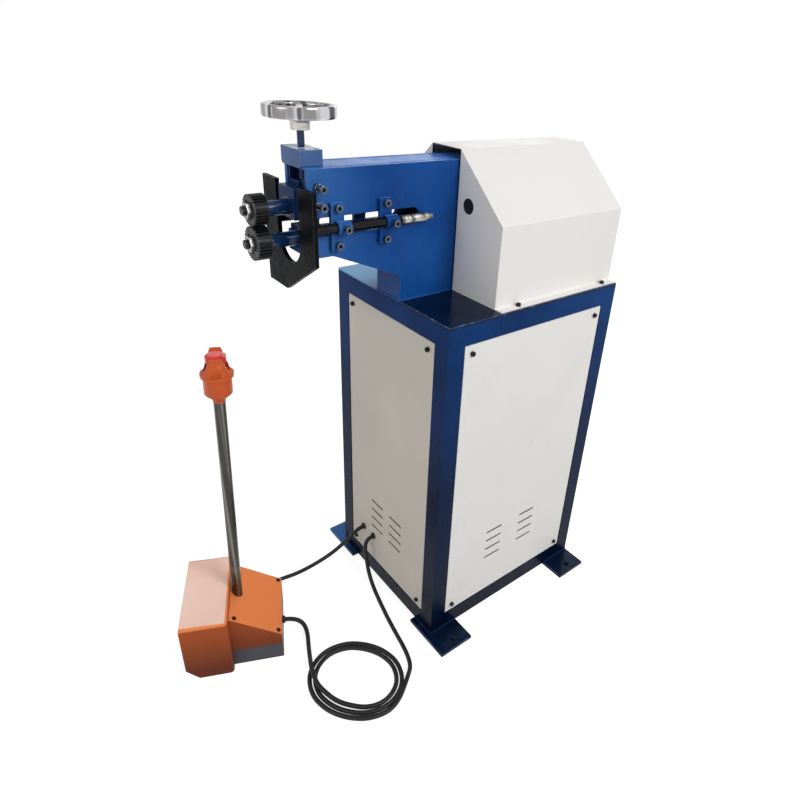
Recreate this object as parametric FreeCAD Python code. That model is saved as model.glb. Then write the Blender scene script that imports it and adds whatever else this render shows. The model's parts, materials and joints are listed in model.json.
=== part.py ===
import FreeCAD, Part
import math
import os
from FreeCAD import Placement, Rotation, Vector

# Electric bead roller on a cabinet stand, with a foot switch on the floor beside it.
# Millimetres. Z up from the floor, front (the roller end) toward -Y, right-hand side toward +X.
# The origin is on the floor at the centre of the four floor-bolt holes.

# Clearances
seat_gap = 0.02
running_gap = 0.05
bearing_gap = 0.02
hole_gap = 0.5

# Cabinet stand
cabinet_width = 390.0
cabinet_depth = 480.0
cabinet_height = 800.0
tube_size = 40.0
tube_wall = 3.0
top_plate_thickness = 5.0
panel_thickness = 2.0
panel_gap = 1.5
panel_recess = 1.0
panel_tab_size = 30.0
panel_tab_thickness = 3.0
panel_screw_inset = 20.0
bearer_positions = (80.0, 150.0)
control_rail_heights = (300.0, 480.0)
control_rail_width = 40.0
control_rail_thickness = 5.0

# Foot plates
foot_length = 90.0
foot_width = 125.0
foot_thickness = 8.0
foot_overhang_side = 63.0
foot_overhang_front = 15.0
foot_hole_radius = 7.0
foot_hole_inset = 20.0

# Vents, measured from the panel's middle and the floor
vent_length = 50.0
vent_height = 5.0
vent_rows = 4
vent_pitch = 26.3
vent_top = 238.0
front_vent_spread = 38.0
side_vent_spread = 54.0
side_vent_shift = -6.0

# Cable ways
cable_diameter = 10.0
stop_cable_exit_x = -99.0
pedal_cable_exit_x = -54.0
cable_exit_z = 126.0
grommet_radius = 9.0
grommet_neck_radius = 7.0
grommet_proud = 5.0
grommet_gap = 0.15
mains_gland_x = 100.0
mains_gland_z = 126.0
mains_gland_radius = 14.0
mains_gland_bore_radius = 5.0
mains_gland_length = 26.0

# Arm: a deep welded box with an open throat. A rise is a height above the cabinet's top.
arm_half_width = 40.0
arm_side_thickness = 10.0
arm_reach = 184.0
arm_rear_behind_front = 170.0
arm_top_rise = 258.0
arm_bottom_rise = 111.0
arm_kink_reach = 141.0
pedestal_top_rise = 52.0
arm_strip_thickness = 8.0
arm_rear_thickness = 10.0
throat_top_rise = 179.0
throat_bottom_rise = 147.0
throat_end_behind_front = 42.0

# Shafts and rollers, reaches are measured forward from the cabinet front
lower_axis_rise = 140.0
upper_axis_rise = 194.0
roller_face_reach = 268.0
roller_length = 25.0
upper_roller_radius = 25.2
lower_roller_radius = 28.0
roller_teeth = 28
roller_groove_depth = 2.8
roller_seat_radius = 10.0
roller_recess_radius = 17.0
roller_recess_depth = 1.5
thread_radius = 8.0
thread_length = 12.5
nut_across_flats = 24.0
nut_thickness = 8.0
shaft_front_radius = 12.5
shaft_middle_radius = 11.0
shaft_rear_radius = 10.0
lower_neck_reach = 144.0

# Front slide of the upper shaft
slide_reach = 171.5
slide_half_width = 20.0
slide_flange_half_width = 27.0
slide_flange_reach = 203.0
slide_bottom_rise = 176.0
slide_top_rise = 227.0
slide_rear_reach = 151.7
slide_retainer_thickness = 6.0
slide_gap = 0.3
bush_outer_radius = 16.0
journal_radius = 13.5
journal_half_width = 7.0
guide_depth = 32.0
gib_thickness = 3.0
gib_screw_rises = (199.5, 229.5)
gib_screw_reach = 167.5
gib_screw_length = 24.0
locknut_across_flats = 13.0
locknut_thickness = 6.5

# Pressure screw, its nut block and the handwheel
top_block_half_width = 34.0
top_block_depth = 40.0
top_block_height = 28.0
top_block_chamfer = 4.0
screw_radius = 6.0
screw_foot_radius = 9.0
screw_foot_height = 4.0
keeper_height = 9.0
keeper_half_size = 15.0
handwheel_radius = 58.5
handwheel_rim_height = 19.0
handwheel_rim_width = 12.0
handwheel_rim_above_hub = 19.0
handwheel_hub_radius = 15.5
handwheel_hub_room = 26.0
screw_above_rim_bottom = 19.0
screw_end_chamfer = 4.0
handwheel_cone_start = 11.0
handwheel_spokes = 3
handwheel_spoke_width = 16.0
handwheel_web_thickness = 6.0
top_bolt_x = 26.5
top_bolt_y = 13.0

# Socket-head screws
m8_radius = 4.0
m8_head_radius = 6.5
m8_head_height = 8.0
m6_radius = 3.0
m6_head_radius = 5.0
m6_head_height = 6.0
top_bolt_length = 40.0

# Black cover screws
m5_radius = 2.5
m5_head_radius = 4.8
m5_head_height = 3.0
m5_length = 12.0
cover_head_radius = 5.0
cover_head_height = 5.5

# Lower front bearing block
lower_block_bottom_rise = 119.0
lower_block_top_rise = 158.0
lower_block_length = 40.0

# Rear bearings and drive, distances are measured back from the cabinet front
bearing_plate_thickness = 18.0
bearing_plate_bottom_rise = 105.0
bearing_plate_top_rise = 230.0
bearing_bolt_inset_x = 4.0
bearing_bolt_inset_z = 9.0
bearing_shoulder = 3.0
bearing_outer_radius = 21.0
bearing_width = 12.0
insert_half_width = 8.0
gear_module = 3.0
gear_teeth = 18
gear_width = 20.0
gear_behind_front = 194.0
gear_tip_relief = 0.8
gear_root_relief = 0.6
gear_backlash = 0.7
upper_shaft_end = 218.0
coupling_radius = 27.5
coupling_behind_front = 220.0
coupling_half_length = 24.0
coupling_spider_width = 10.0
coupling_jaws = 3
output_shaft_radius = 12.0
reducer_behind_front = 290.0
reducer_length = 100.0
reducer_half_height = 72.0
reducer_left = -105.0
reducer_right = 60.0
worm_offset = 63.0
worm_flange_radius = 60.0
worm_flange_drop = 23.0
stand_left = 2.0
stand_thickness = 10.0
motor_flange_radius = 70.0
motor_flange_thickness = 10.0
motor_radius = 66.0
motor_fin_height = 7.0
motor_fins = 20
motor_length = 195.0
motor_wall = 8.0
fan_cover_length = 55.0
fan_cover_wall = 2.0
fan_cover_lap = 10.0
rotor_radius = 40.0
rotor_end_room = 30.0
motor_shaft_radius = 10.0
motor_shaft_above_axis = 30.0
fan_radius = 56.0
fan_blades = 6
terminal_box_size = (45.0, 90.0, 80.0)
motor_opening_radius = 82.0

# Control box
control_box_width = 110.0
control_box_length = 200.0
control_box_height = 250.0
control_box_wall = 2.0
control_box_bottom = 262.0

# Gear hood
hood_front_behind = 130.0
hood_half_width = 172.0
hood_top_half_width = 42.0
hood_top_rise = 277.0
hood_shoulder_rise = 160.0
hood_wall = 1.5
hood_flange = 20.0
hood_arm_gap = 3.0
hood_hole_x = 74.0
hood_hole_rise = 177.0
hood_hole_radius = 15.0
hood_screw_positions = (184.0, 443.0)

# Sheet gauge that slides on two rods
gauge_face_reach = 202.5
gauge_thickness = 8.0
gauge_half_width = 89.0
gauge_top_rise = 232.0
gauge_bottom_rise = 45.0
gauge_notch_half_width = 40.0
gauge_corner_start = -20.0
gauge_corner_top_rise = 113.0
rod_radius = 8.0
rod_offset = 54.0
rod_rise = 163.0
rod_end_reach = -59.0
rod_taper = 12.0
clamp_reaches = (135.5, 38.7)
clamp_plate_width = 25.0
clamp_plate_height = 80.0
clamp_plate_thickness = 8.0
clamp_ring_radius = 11.5
clamp_boss_radius = 7.5
clamp_boss_reach = 14.0
clamp_ring_length = 26.0
clamp_ring_shift = 6.0
clamp_screw_spread = 32.0
rod_gap = 0.1

# Foot switch, in its own frame: u across, v from the mouth toward the rear
pedal_x = -119.6
pedal_y = -680.2
pedal_turn = -24.8
pedal_half_width = 102.0
pedal_hood_depth = 96.0
pedal_hood_height = 150.6
pedal_wall = 3.0
pedal_mouth_bottom = 28.7
pedal_mouth_run = 25.7
pedal_hood_ground_gap = 0.5
pedal_hood_corner = 8.0
pedal_box_half_width = 82.0
pedal_length = 202.0
pedal_lid_top = 137.2
pedal_lid_low = 67.6
pedal_lid_thickness = 3.0
pedal_tray_height = 43.5
pedal_floor = 4.0
treadle_half_width = 66.0
treadle_front = 12.0
treadle_hinge_v = 80.0
treadle_hinge_z = 32.0
treadle_pin_radius = 4.0
treadle_boss_radius = 8.0
treadle_plate_thickness = 4.0
treadle_rise = 10.0
treadle_ear_thickness = 8.0
treadle_ear_inset = 4.0
spring_radius = 9.0
spring_wire_radius = 1.2
spring_turns = 6
spring_v = 36.0
switch_size = (30.0, 24.0, 16.0)
switch_u = 42.0
switch_v = 50.0
pole_v = 105.3
pole_radius = 11.0
pole_wall = 2.0
pole_gap = 0.2
pole_lean = 2.0
pole_socket_height = 30.0
pole_socket_wall = 4.0
pole_top = 633.0
stop_neck_radius = 11.8
stop_neck_height = 1.0
stop_body_radius = 25.5
stop_body_rise = 18.0
stop_rim_radius = 29.8
stop_body_height = 33.0
stop_rim_height = 8.0
shield_height = 38.0
shield_thickness = 3.0
shield_radius = 28.3
shield_base_half_width = 24.0
shield_top_half_width = 9.7
stop_turn = 4.5
stop_stem_radius = 12.0
stop_stem_depth = 12.0
stop_button_radius = 18.5
stop_skirt_height = 13.0
stop_button_height = 18.0
stop_skirt_radius = 15.0
stop_skirt_room = 7.0
gland_length = 6.0
pedal_gland_u = 9.0
pedal_gland_z = 33.0
stop_gland_v = 172.0
stop_gland_z = 28.0

# Loose loops of the foot-switch cable on the floor
loop_centre_x = 188.5
loop_centre_y = -430.0
loop_radius = 102.0
loop_pitch = 12.0
loop_oval = 10.0
loop_oval_angle = 37.0
loop_start_angle = 45.0
loop_spans = 9
cable_ground_gap = 0.5

# Places that follow from the sizes above
arm_top = cabinet_height + arm_top_rise
arm_bottom = cabinet_height + arm_bottom_rise
pedestal_top = cabinet_height + pedestal_top_rise
throat_top = cabinet_height + throat_top_rise
throat_bottom = cabinet_height + throat_bottom_rise
lower_axis_z = cabinet_height + lower_axis_rise
upper_axis_z = cabinet_height + upper_axis_rise
slide_bottom = cabinet_height + slide_bottom_rise
slide_top = cabinet_height + slide_top_rise
lower_block_bottom = cabinet_height + lower_block_bottom_rise
lower_block_top = cabinet_height + lower_block_top_rise
bearing_plate_bottom = cabinet_height + bearing_plate_bottom_rise
bearing_plate_top = cabinet_height + bearing_plate_top_rise
hood_top = cabinet_height + hood_top_rise
hood_shoulder = cabinet_height + hood_shoulder_rise
hood_hole_z = cabinet_height + hood_hole_rise
gauge_top = cabinet_height + gauge_top_rise
gauge_bottom = cabinet_height + gauge_bottom_rise
gauge_corner_top = cabinet_height + gauge_corner_top_rise
rod_z = cabinet_height + rod_rise
gib_screw_heights = [cabinet_height + rise for rise in gib_screw_rises]
bolt_spacing_x = cabinet_width + 2.0 * (foot_overhang_side - foot_hole_inset)
bolt_spacing_y = cabinet_depth + foot_overhang_front - foot_length
half_width = cabinet_width / 2.0
front_y = -bolt_spacing_y / 2.0 - foot_length / 2.0 + foot_overhang_front
rear_y = front_y + cabinet_depth
middle_y = (front_y + rear_y) / 2.0
plate_bottom = cabinet_height - top_plate_thickness
rail_bottom = plate_bottom - tube_size
sill_top = foot_thickness + tube_size
post_inner = half_width - tube_size
arm_inner = arm_half_width - arm_side_thickness
arm_front = front_y - arm_reach
arm_rear = front_y + arm_rear_behind_front
throat_radius = (throat_top - throat_bottom) / 2.0
throat_middle = (throat_top + throat_bottom) / 2.0
throat_end = front_y + throat_end_behind_front
roller_face = front_y - roller_face_reach
roller_back = roller_face + roller_length
slide_y = front_y - slide_reach
slide_front = front_y - slide_flange_reach
slide_rear = front_y - slide_rear_reach
pivot_y = arm_rear + bearing_plate_thickness / 2.0
gear_front = front_y + gear_behind_front
coupling_front = front_y + coupling_behind_front
coupling_rear = coupling_front + 2.0 * coupling_half_length + coupling_spider_width
reducer_front = front_y + reducer_behind_front
reducer_rear = reducer_front + reducer_length
reducer_y = (reducer_front + reducer_rear) / 2.0
reducer_bottom = lower_axis_z - reducer_half_height
motor_top = reducer_bottom - worm_flange_drop
motor_bottom = motor_top - motor_flange_thickness - motor_length
gauge_face = front_y - gauge_face_reach
gauge_back = gauge_face + gauge_thickness
hood_front = front_y + hood_front_behind
screw_bottom = slide_top
block_top = arm_top + top_block_height
handwheel_hub_bottom = block_top + handwheel_hub_room
handwheel_rim_bottom = handwheel_hub_bottom + handwheel_rim_above_hub
screw_end = handwheel_rim_bottom + screw_above_rim_bottom
stop_body_bottom = pole_top + stop_body_rise
stop_rim_bottom = stop_body_bottom + stop_body_height
stop_rim_top = stop_rim_bottom + stop_rim_height
shield_top = stop_rim_top + shield_height
stop_stem_bottom = stop_rim_bottom - stop_stem_depth
stop_skirt_bottom = stop_rim_top + stop_skirt_room
stop_button_bottom = stop_skirt_bottom + stop_skirt_height
stop_button_top = stop_button_bottom + stop_button_height
cable_radius = cable_diameter / 2.0
pedal_lid_slope = (pedal_lid_top - pedal_lid_low) / (pedal_length - pedal_hood_depth)
pedal_lid_angle = math.degrees(math.atan(pedal_lid_slope))


def box(x0, x1, y0, y1, z0, z1):
    return Part.makeBox(x1 - x0, y1 - y0, z1 - z0, Vector(x0, y0, z0))


def rod(radius, start, end):
    start = Vector(*start)
    along = Vector(*end) - start
    return Part.makeCylinder(radius, along.Length, start, along)


def ring(outer, inner, start, end):
    return rod(outer, start, end).cut(rod(inner, start, end))


def stepped(axis_x, axis_z, sections):
    """Round bar along Y from (radius, y start, y end) sections that follow each other."""
    bars = [rod(radius, (axis_x, y0, axis_z), (axis_x, y1, axis_z)) for radius, y0, y1 in sections]
    return joined(bars)


def joined(shapes):
    solid = shapes[0]
    if len(shapes) > 1:
        solid = shapes[0].fuse(shapes[1:])
    return solid.removeSplitter()


def prism(points, along):
    """Closed outline of (x, y, z) points pushed along a vector."""
    corners = [Vector(*point) for point in points]
    outline = Part.makePolygon(corners + corners[:1])
    return Part.Face(outline).extrude(Vector(*along))


def hexagon(across_flats, height, centre, axis):
    """Hexagonal bar that starts at centre and runs along axis."""
    corner = across_flats / math.sqrt(3.0)
    points = [Vector(corner * math.cos(math.radians(60 * k)), corner * math.sin(math.radians(60 * k)), 0)
              for k in range(6)]
    bar = Part.Face(Part.makePolygon(points + points[:1])).extrude(Vector(0, 0, height))
    bar.Placement = Placement(Vector(*centre), Rotation(Vector(0, 0, 1), Vector(*axis)))
    return bar


def placed(shape, placement):
    copy = shape.copy()
    copy.Placement = placement.multiply(copy.Placement)
    return copy


def mirrored(shape):
    return shape.mirror(Vector(0, 0, 0), Vector(1, 0, 0))


def write(name, *solids):
    shape = solids[0]
    if len(solids) > 1:
        shape = Part.makeCompound(list(solids))
    if not shape.isValid():
        print("not valid:", name)
    shape.exportStep("parts/" + name + ".step")


def socket_screw(seat, axis, shank, radius, head_radius, head_height):
    """Socket-head screw, its head outside the seat point along axis, its shank inside."""
    seat = Vector(*seat)
    axis = Vector(*axis)
    head = Part.makeCylinder(head_radius, head_height, seat, axis)
    stem = Part.makeCylinder(radius, shank, seat - axis * shank, axis)
    key_depth = head_height / 2.0
    top = seat + axis * (head_height - key_depth)
    key = hexagon(head_radius * 0.92, key_depth, (top.x, top.y, top.z), (axis.x, axis.y, axis.z))
    return joined([head, stem]).cut(key)


def m8_screw(seat, axis, shank):
    return socket_screw(seat, axis, shank, m8_radius, m8_head_radius, m8_head_height)


def m6_screw(seat, axis, shank):
    return socket_screw(seat, axis, shank, m6_radius, m6_head_radius, m6_head_height)


def cover_screw(seat, axis):
    """Black socket screw with a tall head that holds sheet covers."""
    return socket_screw(seat, axis, m5_length, m5_radius, cover_head_radius, cover_head_height)


def cabinet_frame():
    """Welded square-tube frame with panel tabs, two bearers under the arm and the control-box rails."""
    posts = []
    for side in (-1, 1):
        for y0 in (front_y, rear_y - tube_size):
            x0 = post_inner if side > 0 else -half_width
            outer = box(x0, x0 + tube_size, y0, y0 + tube_size, foot_thickness, plate_bottom)
            inner = box(x0 + tube_wall, x0 + tube_size - tube_wall, y0 + tube_wall,
                        y0 + tube_size - tube_wall, foot_thickness, plate_bottom)
            posts.append(outer.cut(inner))
    rails = []
    for z0 in (foot_thickness, rail_bottom):
        for y0 in (front_y, rear_y - tube_size):
            rails.append(tube_x(-post_inner, post_inner, y0, z0))
        for x0 in (-half_width, post_inner):
            rails.append(tube_y(x0, front_y + tube_size, rear_y - tube_size, z0))
    for behind in bearer_positions:
        rails.append(tube_x(-post_inner, post_inner, front_y + behind, rail_bottom))
    for z0 in control_rail_heights:
        rails.append(box(-post_inner, -post_inner + control_rail_thickness, front_y + tube_size / 2.0,
                         rear_y - tube_size / 2.0, z0, z0 + control_rail_width))
    frame = joined(posts + rails + panel_tabs())
    hood_holes = [rod(m5_radius + seat_gap, (x, y, cabinet_height - m5_length), (x, y, cabinet_height))
                  for x, y in hood_screw_places()]
    return frame.cut(Part.makeCompound(panel_screw_holes() + hood_holes))


def tube_x(x0, x1, y0, z0):
    outer = box(x0, x1, y0, y0 + tube_size, z0, z0 + tube_size)
    inner = box(x0, x1, y0 + tube_wall, y0 + tube_size - tube_wall, z0 + tube_wall, z0 + tube_size - tube_wall)
    return outer.cut(inner)


def tube_y(x0, y0, y1, z0):
    outer = box(x0, x0 + tube_size, y0, y1, z0, z0 + tube_size)
    inner = box(x0 + tube_wall, x0 + tube_size - tube_wall, y0, y1, z0 + tube_wall, z0 + tube_size - tube_wall)
    return outer.cut(inner)


def panel_faces():
    """The four panel openings as (middle, across, outward, half opening width)."""
    half_span = cabinet_depth / 2.0 - tube_size
    return {
        "front": (Vector(0, front_y, 0), Vector(1, 0, 0), Vector(0, -1, 0), post_inner),
        "rear": (Vector(0, rear_y, 0), Vector(-1, 0, 0), Vector(0, 1, 0), post_inner),
        "right": (Vector(half_width, middle_y, 0), Vector(0, 1, 0), Vector(1, 0, 0), half_span),
        "left": (Vector(-half_width, middle_y, 0), Vector(0, 1, 0), Vector(-1, 0, 0), half_span),
    }


def face_block(face, across0, across1, z0, z1, depth0, depth1):
    """Box on a panel opening: across and up in the opening, depths inward from the outer face."""
    middle, across, outward, _ = face
    a = middle + across * across0 - outward * depth0
    b = middle + across * across1 - outward * depth1
    return box(min(a.x, b.x), max(a.x, b.x), min(a.y, b.y), max(a.y, b.y), z0, z1)


def panel_corners(face):
    half_span = face[3]
    return [(s, z) for s in (-half_span, half_span) for z in (sill_top, rail_bottom)]


def panel_tabs():
    depth = panel_recess + panel_thickness
    tabs = []
    for face in panel_faces().values():
        for across, z in panel_corners(face):
            inward = -math.copysign(panel_tab_size, across)
            upward = panel_tab_size if z == sill_top else -panel_tab_size
            tabs.append(face_block(face, min(across, across + inward), max(across, across + inward),
                                   min(z, z + upward), max(z, z + upward), depth, depth + panel_tab_thickness))
    return tabs


def panel_screw_points(face):
    points = []
    for across, z in panel_corners(face):
        inset = across - math.copysign(panel_screw_inset, across)
        height = z + panel_screw_inset if z == sill_top else z - panel_screw_inset
        points.append((inset, height))
    return points


def panel_screw_holes():
    holes = []
    for face in panel_faces().values():
        middle, across, outward, _ = face
        for inset, height in panel_screw_points(face):
            start = middle + across * inset + Vector(0, 0, height) - outward * 2.0 * m5_length
            holes.append(Part.makeCylinder(m5_radius + seat_gap, 3.0 * m5_length, start, outward))
    return holes


def slot(face, across, z):
    """Horizontal round-ended vent slot through a panel."""
    middle, along, outward, _ = face
    radius = vent_height / 2.0
    straight = vent_length / 2.0 - radius
    deep = panel_recess + panel_thickness + 1.0
    bar = face_block(face, across - straight, across + straight, z - radius, z + radius, -1.0, deep)
    ends = []
    for end in (-straight, straight):
        start = middle + along * (across + end) + Vector(0, 0, z) - outward * deep
        ends.append(Part.makeCylinder(radius, deep + 1.0, start, outward))
    return joined([bar] + ends)


def panel(face, spread, shift):
    """Sheet panel inset in its opening, with two columns of vent slots near the bottom."""
    half_span = face[3] - panel_gap
    sheet = face_block(face, -half_span, half_span, sill_top + panel_gap, rail_bottom - panel_gap,
                       panel_recess, panel_recess + panel_thickness)
    slots = [slot(face, shift + column * spread, vent_top - row * vent_pitch)
             for column in (-1, 1) for row in range(vent_rows)]
    return sheet.cut(Part.makeCompound(slots + panel_screw_holes()))


def cabinet():
    faces = panel_faces()
    write("cabinet_frame", cabinet_frame())
    ways = []
    for x in (stop_cable_exit_x, pedal_cable_exit_x):
        ways.append(rod(grommet_neck_radius, (x, front_y - 1, cable_exit_z), (x, front_y + 10, cable_exit_z)))
    write("front_panel", panel(faces["front"], front_vent_spread, 0.0).cut(Part.makeCompound(ways)))
    way = rod(mains_gland_radius - 4.0, (mains_gland_x, rear_y + 1, mains_gland_z),
              (mains_gland_x, rear_y - 10, mains_gland_z))
    write("rear_panel", panel(faces["rear"], front_vent_spread, 0.0).cut(way))
    write("side_panels", *[panel(faces[name], side_vent_spread, side_vent_shift) for name in ("left", "right")])
    write("top_plate", top_plate())
    write("foot_plates", *foot_plates())


def top_plate():
    plate = box(-half_width, half_width, front_y, rear_y, plate_bottom, cabinet_height)
    opening = rod(motor_opening_radius, (-worm_offset, reducer_y, plate_bottom - 1),
                  (-worm_offset, reducer_y, cabinet_height + 1))
    holes = [rod(m5_radius + seat_gap, (x, y, plate_bottom - 1), (x, y, cabinet_height + 1))
             for x, y in hood_screw_places()]
    return plate.cut(Part.makeCompound([opening] + holes))


def foot_plates():
    plates = []
    outer = half_width + foot_overhang_side
    for side in (-1, 1):
        for y0 in (front_y - foot_overhang_front, rear_y - foot_length):
            x0 = outer - foot_width if side > 0 else -outer
            plate = box(x0, x0 + foot_width, y0, y0 + foot_length, 0, foot_thickness)
            x = side * bolt_spacing_x / 2.0
            y = y0 + foot_length / 2.0
            plates.append(plate.cut(rod(foot_hole_radius, (x, y, -1), (x, y, foot_thickness + 1))))
    return plates


def arm_outline(grow=0.0):
    """Side outline of the arm as (y, z), grown outward by a strip where asked."""
    return [(arm_front, arm_top + grow), (arm_rear, arm_top + grow), (arm_rear, cabinet_height - grow),
            (front_y, cabinet_height - grow), (front_y, pedestal_top), (front_y - arm_kink_reach, arm_bottom),
            (arm_front, arm_bottom)]


def arm_side(side):
    x0 = arm_inner if side > 0 else -arm_half_width
    plate = prism([(x0, y, z) for y, z in arm_outline()], (arm_side_thickness, 0, 0))
    far = x0 + arm_side_thickness + 1
    end_y = throat_end - throat_radius
    throat = box(x0 - 1, far, arm_front - 1, end_y, throat_bottom, throat_top)
    throat_round = rod(throat_radius, (x0 - 1, end_y, throat_middle), (far, end_y, throat_middle))
    cuts = [throat, throat_round]
    for reach in clamp_reaches:
        for up in (-clamp_screw_spread, clamp_screw_spread):
            y = front_y - reach
            cuts.append(rod(m8_radius + seat_gap, (x0 - 1, y, rod_z + up), (far, y, rod_z + up)))
    if side > 0:
        for z in gib_screw_heights:
            y = front_y - gib_screw_reach
            cuts.append(rod(m8_radius + seat_gap, (x0 - 1, y, z), (far, y, z)))
    return plate.cut(Part.makeCompound(cuts))


def arm_spine():
    """Edge strips between the two arm sides: top, rear, base, pedestal front and underside."""
    t = arm_strip_thickness
    rear_inside = arm_rear - arm_rear_thickness
    top_start = arm_front + guide_depth
    strips = [box(-arm_inner, arm_inner, top_start, arm_rear, arm_top - t, arm_top)]
    strips.append(box(-arm_inner, arm_inner, rear_inside, arm_rear, cabinet_height, arm_top))
    strips.append(box(-arm_inner, arm_inner, front_y, arm_rear, cabinet_height, cabinet_height + t))
    strips.append(box(-arm_inner, arm_inner, front_y, front_y + t, cabinet_height, pedestal_top))
    kink_y = front_y - arm_kink_reach
    underside = [(arm_front, arm_bottom), (kink_y, arm_bottom), (front_y, pedestal_top),
                 (front_y + t, pedestal_top), (front_y + t, pedestal_top + t), (kink_y, arm_bottom + t),
                 (arm_front, arm_bottom + t)]
    strips.append(prism([(-arm_inner, y, z) for y, z in underside], (2.0 * arm_inner, 0, 0)))
    holes = []
    for z in (lower_axis_z, upper_axis_z):
        holes.append(rod(shaft_middle_radius + 4.0, (0, rear_inside - 1, z), (0, arm_rear + 1, z)))
    for x, z in bearing_plate_bolts():
        holes.append(rod(m8_radius + seat_gap, (x, rear_inside - 1, z), (x, arm_rear + 1, z)))
    return joined(strips).cut(Part.makeCompound(holes))


def slide_guides():
    """Two guide bars inside the arm's front end, and the adjustable gib strip on the right."""
    y1 = arm_front + guide_depth
    left = box(-arm_inner, -slide_half_width, arm_front, y1, throat_top, arm_top)
    right_face = slide_half_width + gib_thickness + seat_gap
    right = box(right_face, arm_inner, arm_front, y1, throat_top, arm_top)
    gib = box(slide_half_width, slide_half_width + gib_thickness, arm_front, y1, throat_top + 1, arm_top - 1)
    cuts = []
    for z in gib_screw_heights:
        y = front_y - gib_screw_reach
        cuts.append(rod(m8_radius + seat_gap, (slide_half_width + gib_thickness, y, z), (arm_half_width, y, z)))
    bolt_end = block_top - m6_head_height - top_bolt_length
    bolt_holes = [rod(m6_radius + seat_gap, (x, y, bolt_end), (x, y, arm_top + 1)) for x, y in top_bolts()]
    right = right.cut(Part.makeCompound(cuts + bolt_holes))
    left = left.cut(Part.makeCompound(bolt_holes))
    return left, right, gib


def gib_screws():
    """Set screws with lock nuts that press the gib strip."""
    sets = []
    y = front_y - gib_screw_reach
    tip = slide_half_width + gib_thickness + seat_gap
    for z in gib_screw_heights:
        head_seat = arm_half_width + gib_screw_length - m8_head_height
        sets.append(m8_screw((head_seat, y, z), (1, 0, 0), head_seat - tip))
        nut = hexagon(locknut_across_flats, locknut_thickness, (arm_half_width, y, z), (1, 0, 0))
        bore = rod(m8_radius + seat_gap, (arm_half_width - 1, y, z), (arm_half_width + 20, y, z))
        sets.append(nut.cut(bore))
    return sets


def top_bolts():
    return [(sx * top_bolt_x, slide_y + sy * top_bolt_y) for sx in (-1, 1) for sy in (-1, 1)]


def top_block():
    """Nut block on top of the arm's front end, threaded for the pressure screw."""
    half_depth = top_block_depth / 2.0
    block = box(-top_block_half_width, top_block_half_width, slide_y - half_depth, slide_y + half_depth,
                arm_top, block_top)
    edges = []
    for edge in block.Edges:
        low = edge.BoundBox.ZMax < arm_top + 0.1
        along_y = edge.BoundBox.YLength > 1.0
        if low and along_y:
            edges.append(edge)
    block = block.makeChamfer(top_block_chamfer, edges)
    cuts = [rod(screw_radius + running_gap, (0, slide_y, arm_top - 1), (0, slide_y, block_top + 1))]
    for x, y in top_bolts():
        cuts.append(rod(m6_radius + seat_gap, (x, y, arm_top - 1), (x, y, block_top + 1)))
        cuts.append(rod(m6_head_radius + hole_gap, (x, y, block_top - m6_head_height), (x, y, block_top + 1)))
    return block.cut(Part.makeCompound(cuts))


def lower_bearing_block():
    block = box(-arm_inner, arm_inner, arm_front, arm_front + lower_block_length, lower_block_bottom,
                lower_block_top)
    bore = rod(bush_outer_radius + seat_gap, (0, arm_front - 1, lower_axis_z),
               (0, arm_front + lower_block_length + 1, lower_axis_z))
    return block.cut(bore)


def arm():
    write("arm_side_right", arm_side(1))
    write("arm_side_left", arm_side(-1))
    write("arm_spine", arm_spine())
    write("slide_guides", *slide_guides())
    write("gib_screws", *gib_screws())
    write("top_block", top_block())
    write("lower_bearing_block", lower_bearing_block())
    write("lower_front_bush", ring(bush_outer_radius, shaft_front_radius + running_gap,
                                   (0, arm_front, lower_axis_z),
                                   (0, arm_front + lower_block_length, lower_axis_z)))


def slide():
    """Bearing slide of the upper shaft: tongue between the guides, flange in front, retainer behind."""
    tongue = box(-slide_half_width + slide_gap, slide_half_width - running_gap, arm_front - slide_gap,
                 slide_rear, slide_bottom, slide_top)
    flange = box(-slide_flange_half_width, slide_flange_half_width, slide_front, arm_front - slide_gap,
                 slide_bottom, slide_top)
    block = joined([tongue, flange])
    bore = rod(bush_outer_radius + seat_gap, (0, slide_front - 1, upper_axis_z), (0, slide_rear + 1, upper_axis_z))
    bolt_holes = []
    for x in (-keeper_half_size + 4.0, keeper_half_size - 4.0):
        bolt_holes.append(rod(m5_radius, (x, slide_y, slide_top - 8), (x, slide_y, slide_top + 1)))
    write("slide_block", block.cut(bore))
    write("slide_bush", ring(bush_outer_radius, journal_radius + running_gap, (0, slide_front, upper_axis_z),
                             (0, slide_rear, upper_axis_z)))
    write("slide_keepers", slide_retainer(), screw_keeper())


def slide_retainer():
    """Plate behind the guides that keeps the slide from moving forward."""
    y0 = slide_rear
    plate = box(-slide_flange_half_width, slide_flange_half_width, y0, y0 + slide_retainer_thickness,
                slide_bottom, slide_top)
    return plate.cut(rod(bush_outer_radius + 1.0, (0, y0 - 1, upper_axis_z), (0, y0 + 20, upper_axis_z)))


def screw_keeper():
    """Cap on the slide that holds the foot of the pressure screw, so the screw also lifts the slide."""
    s = keeper_half_size
    cap = box(-s, s, slide_y - s, slide_y + s, slide_top, slide_top + keeper_height)
    foot = rod(screw_foot_radius + hole_gap, (0, slide_y, slide_top - 1),
               (0, slide_y, slide_top + screw_foot_height + running_gap))
    neck = rod(screw_radius + hole_gap, (0, slide_y, slide_top), (0, slide_y, slide_top + keeper_height + 1))
    return cap.cut(joined([foot, neck]))


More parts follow.
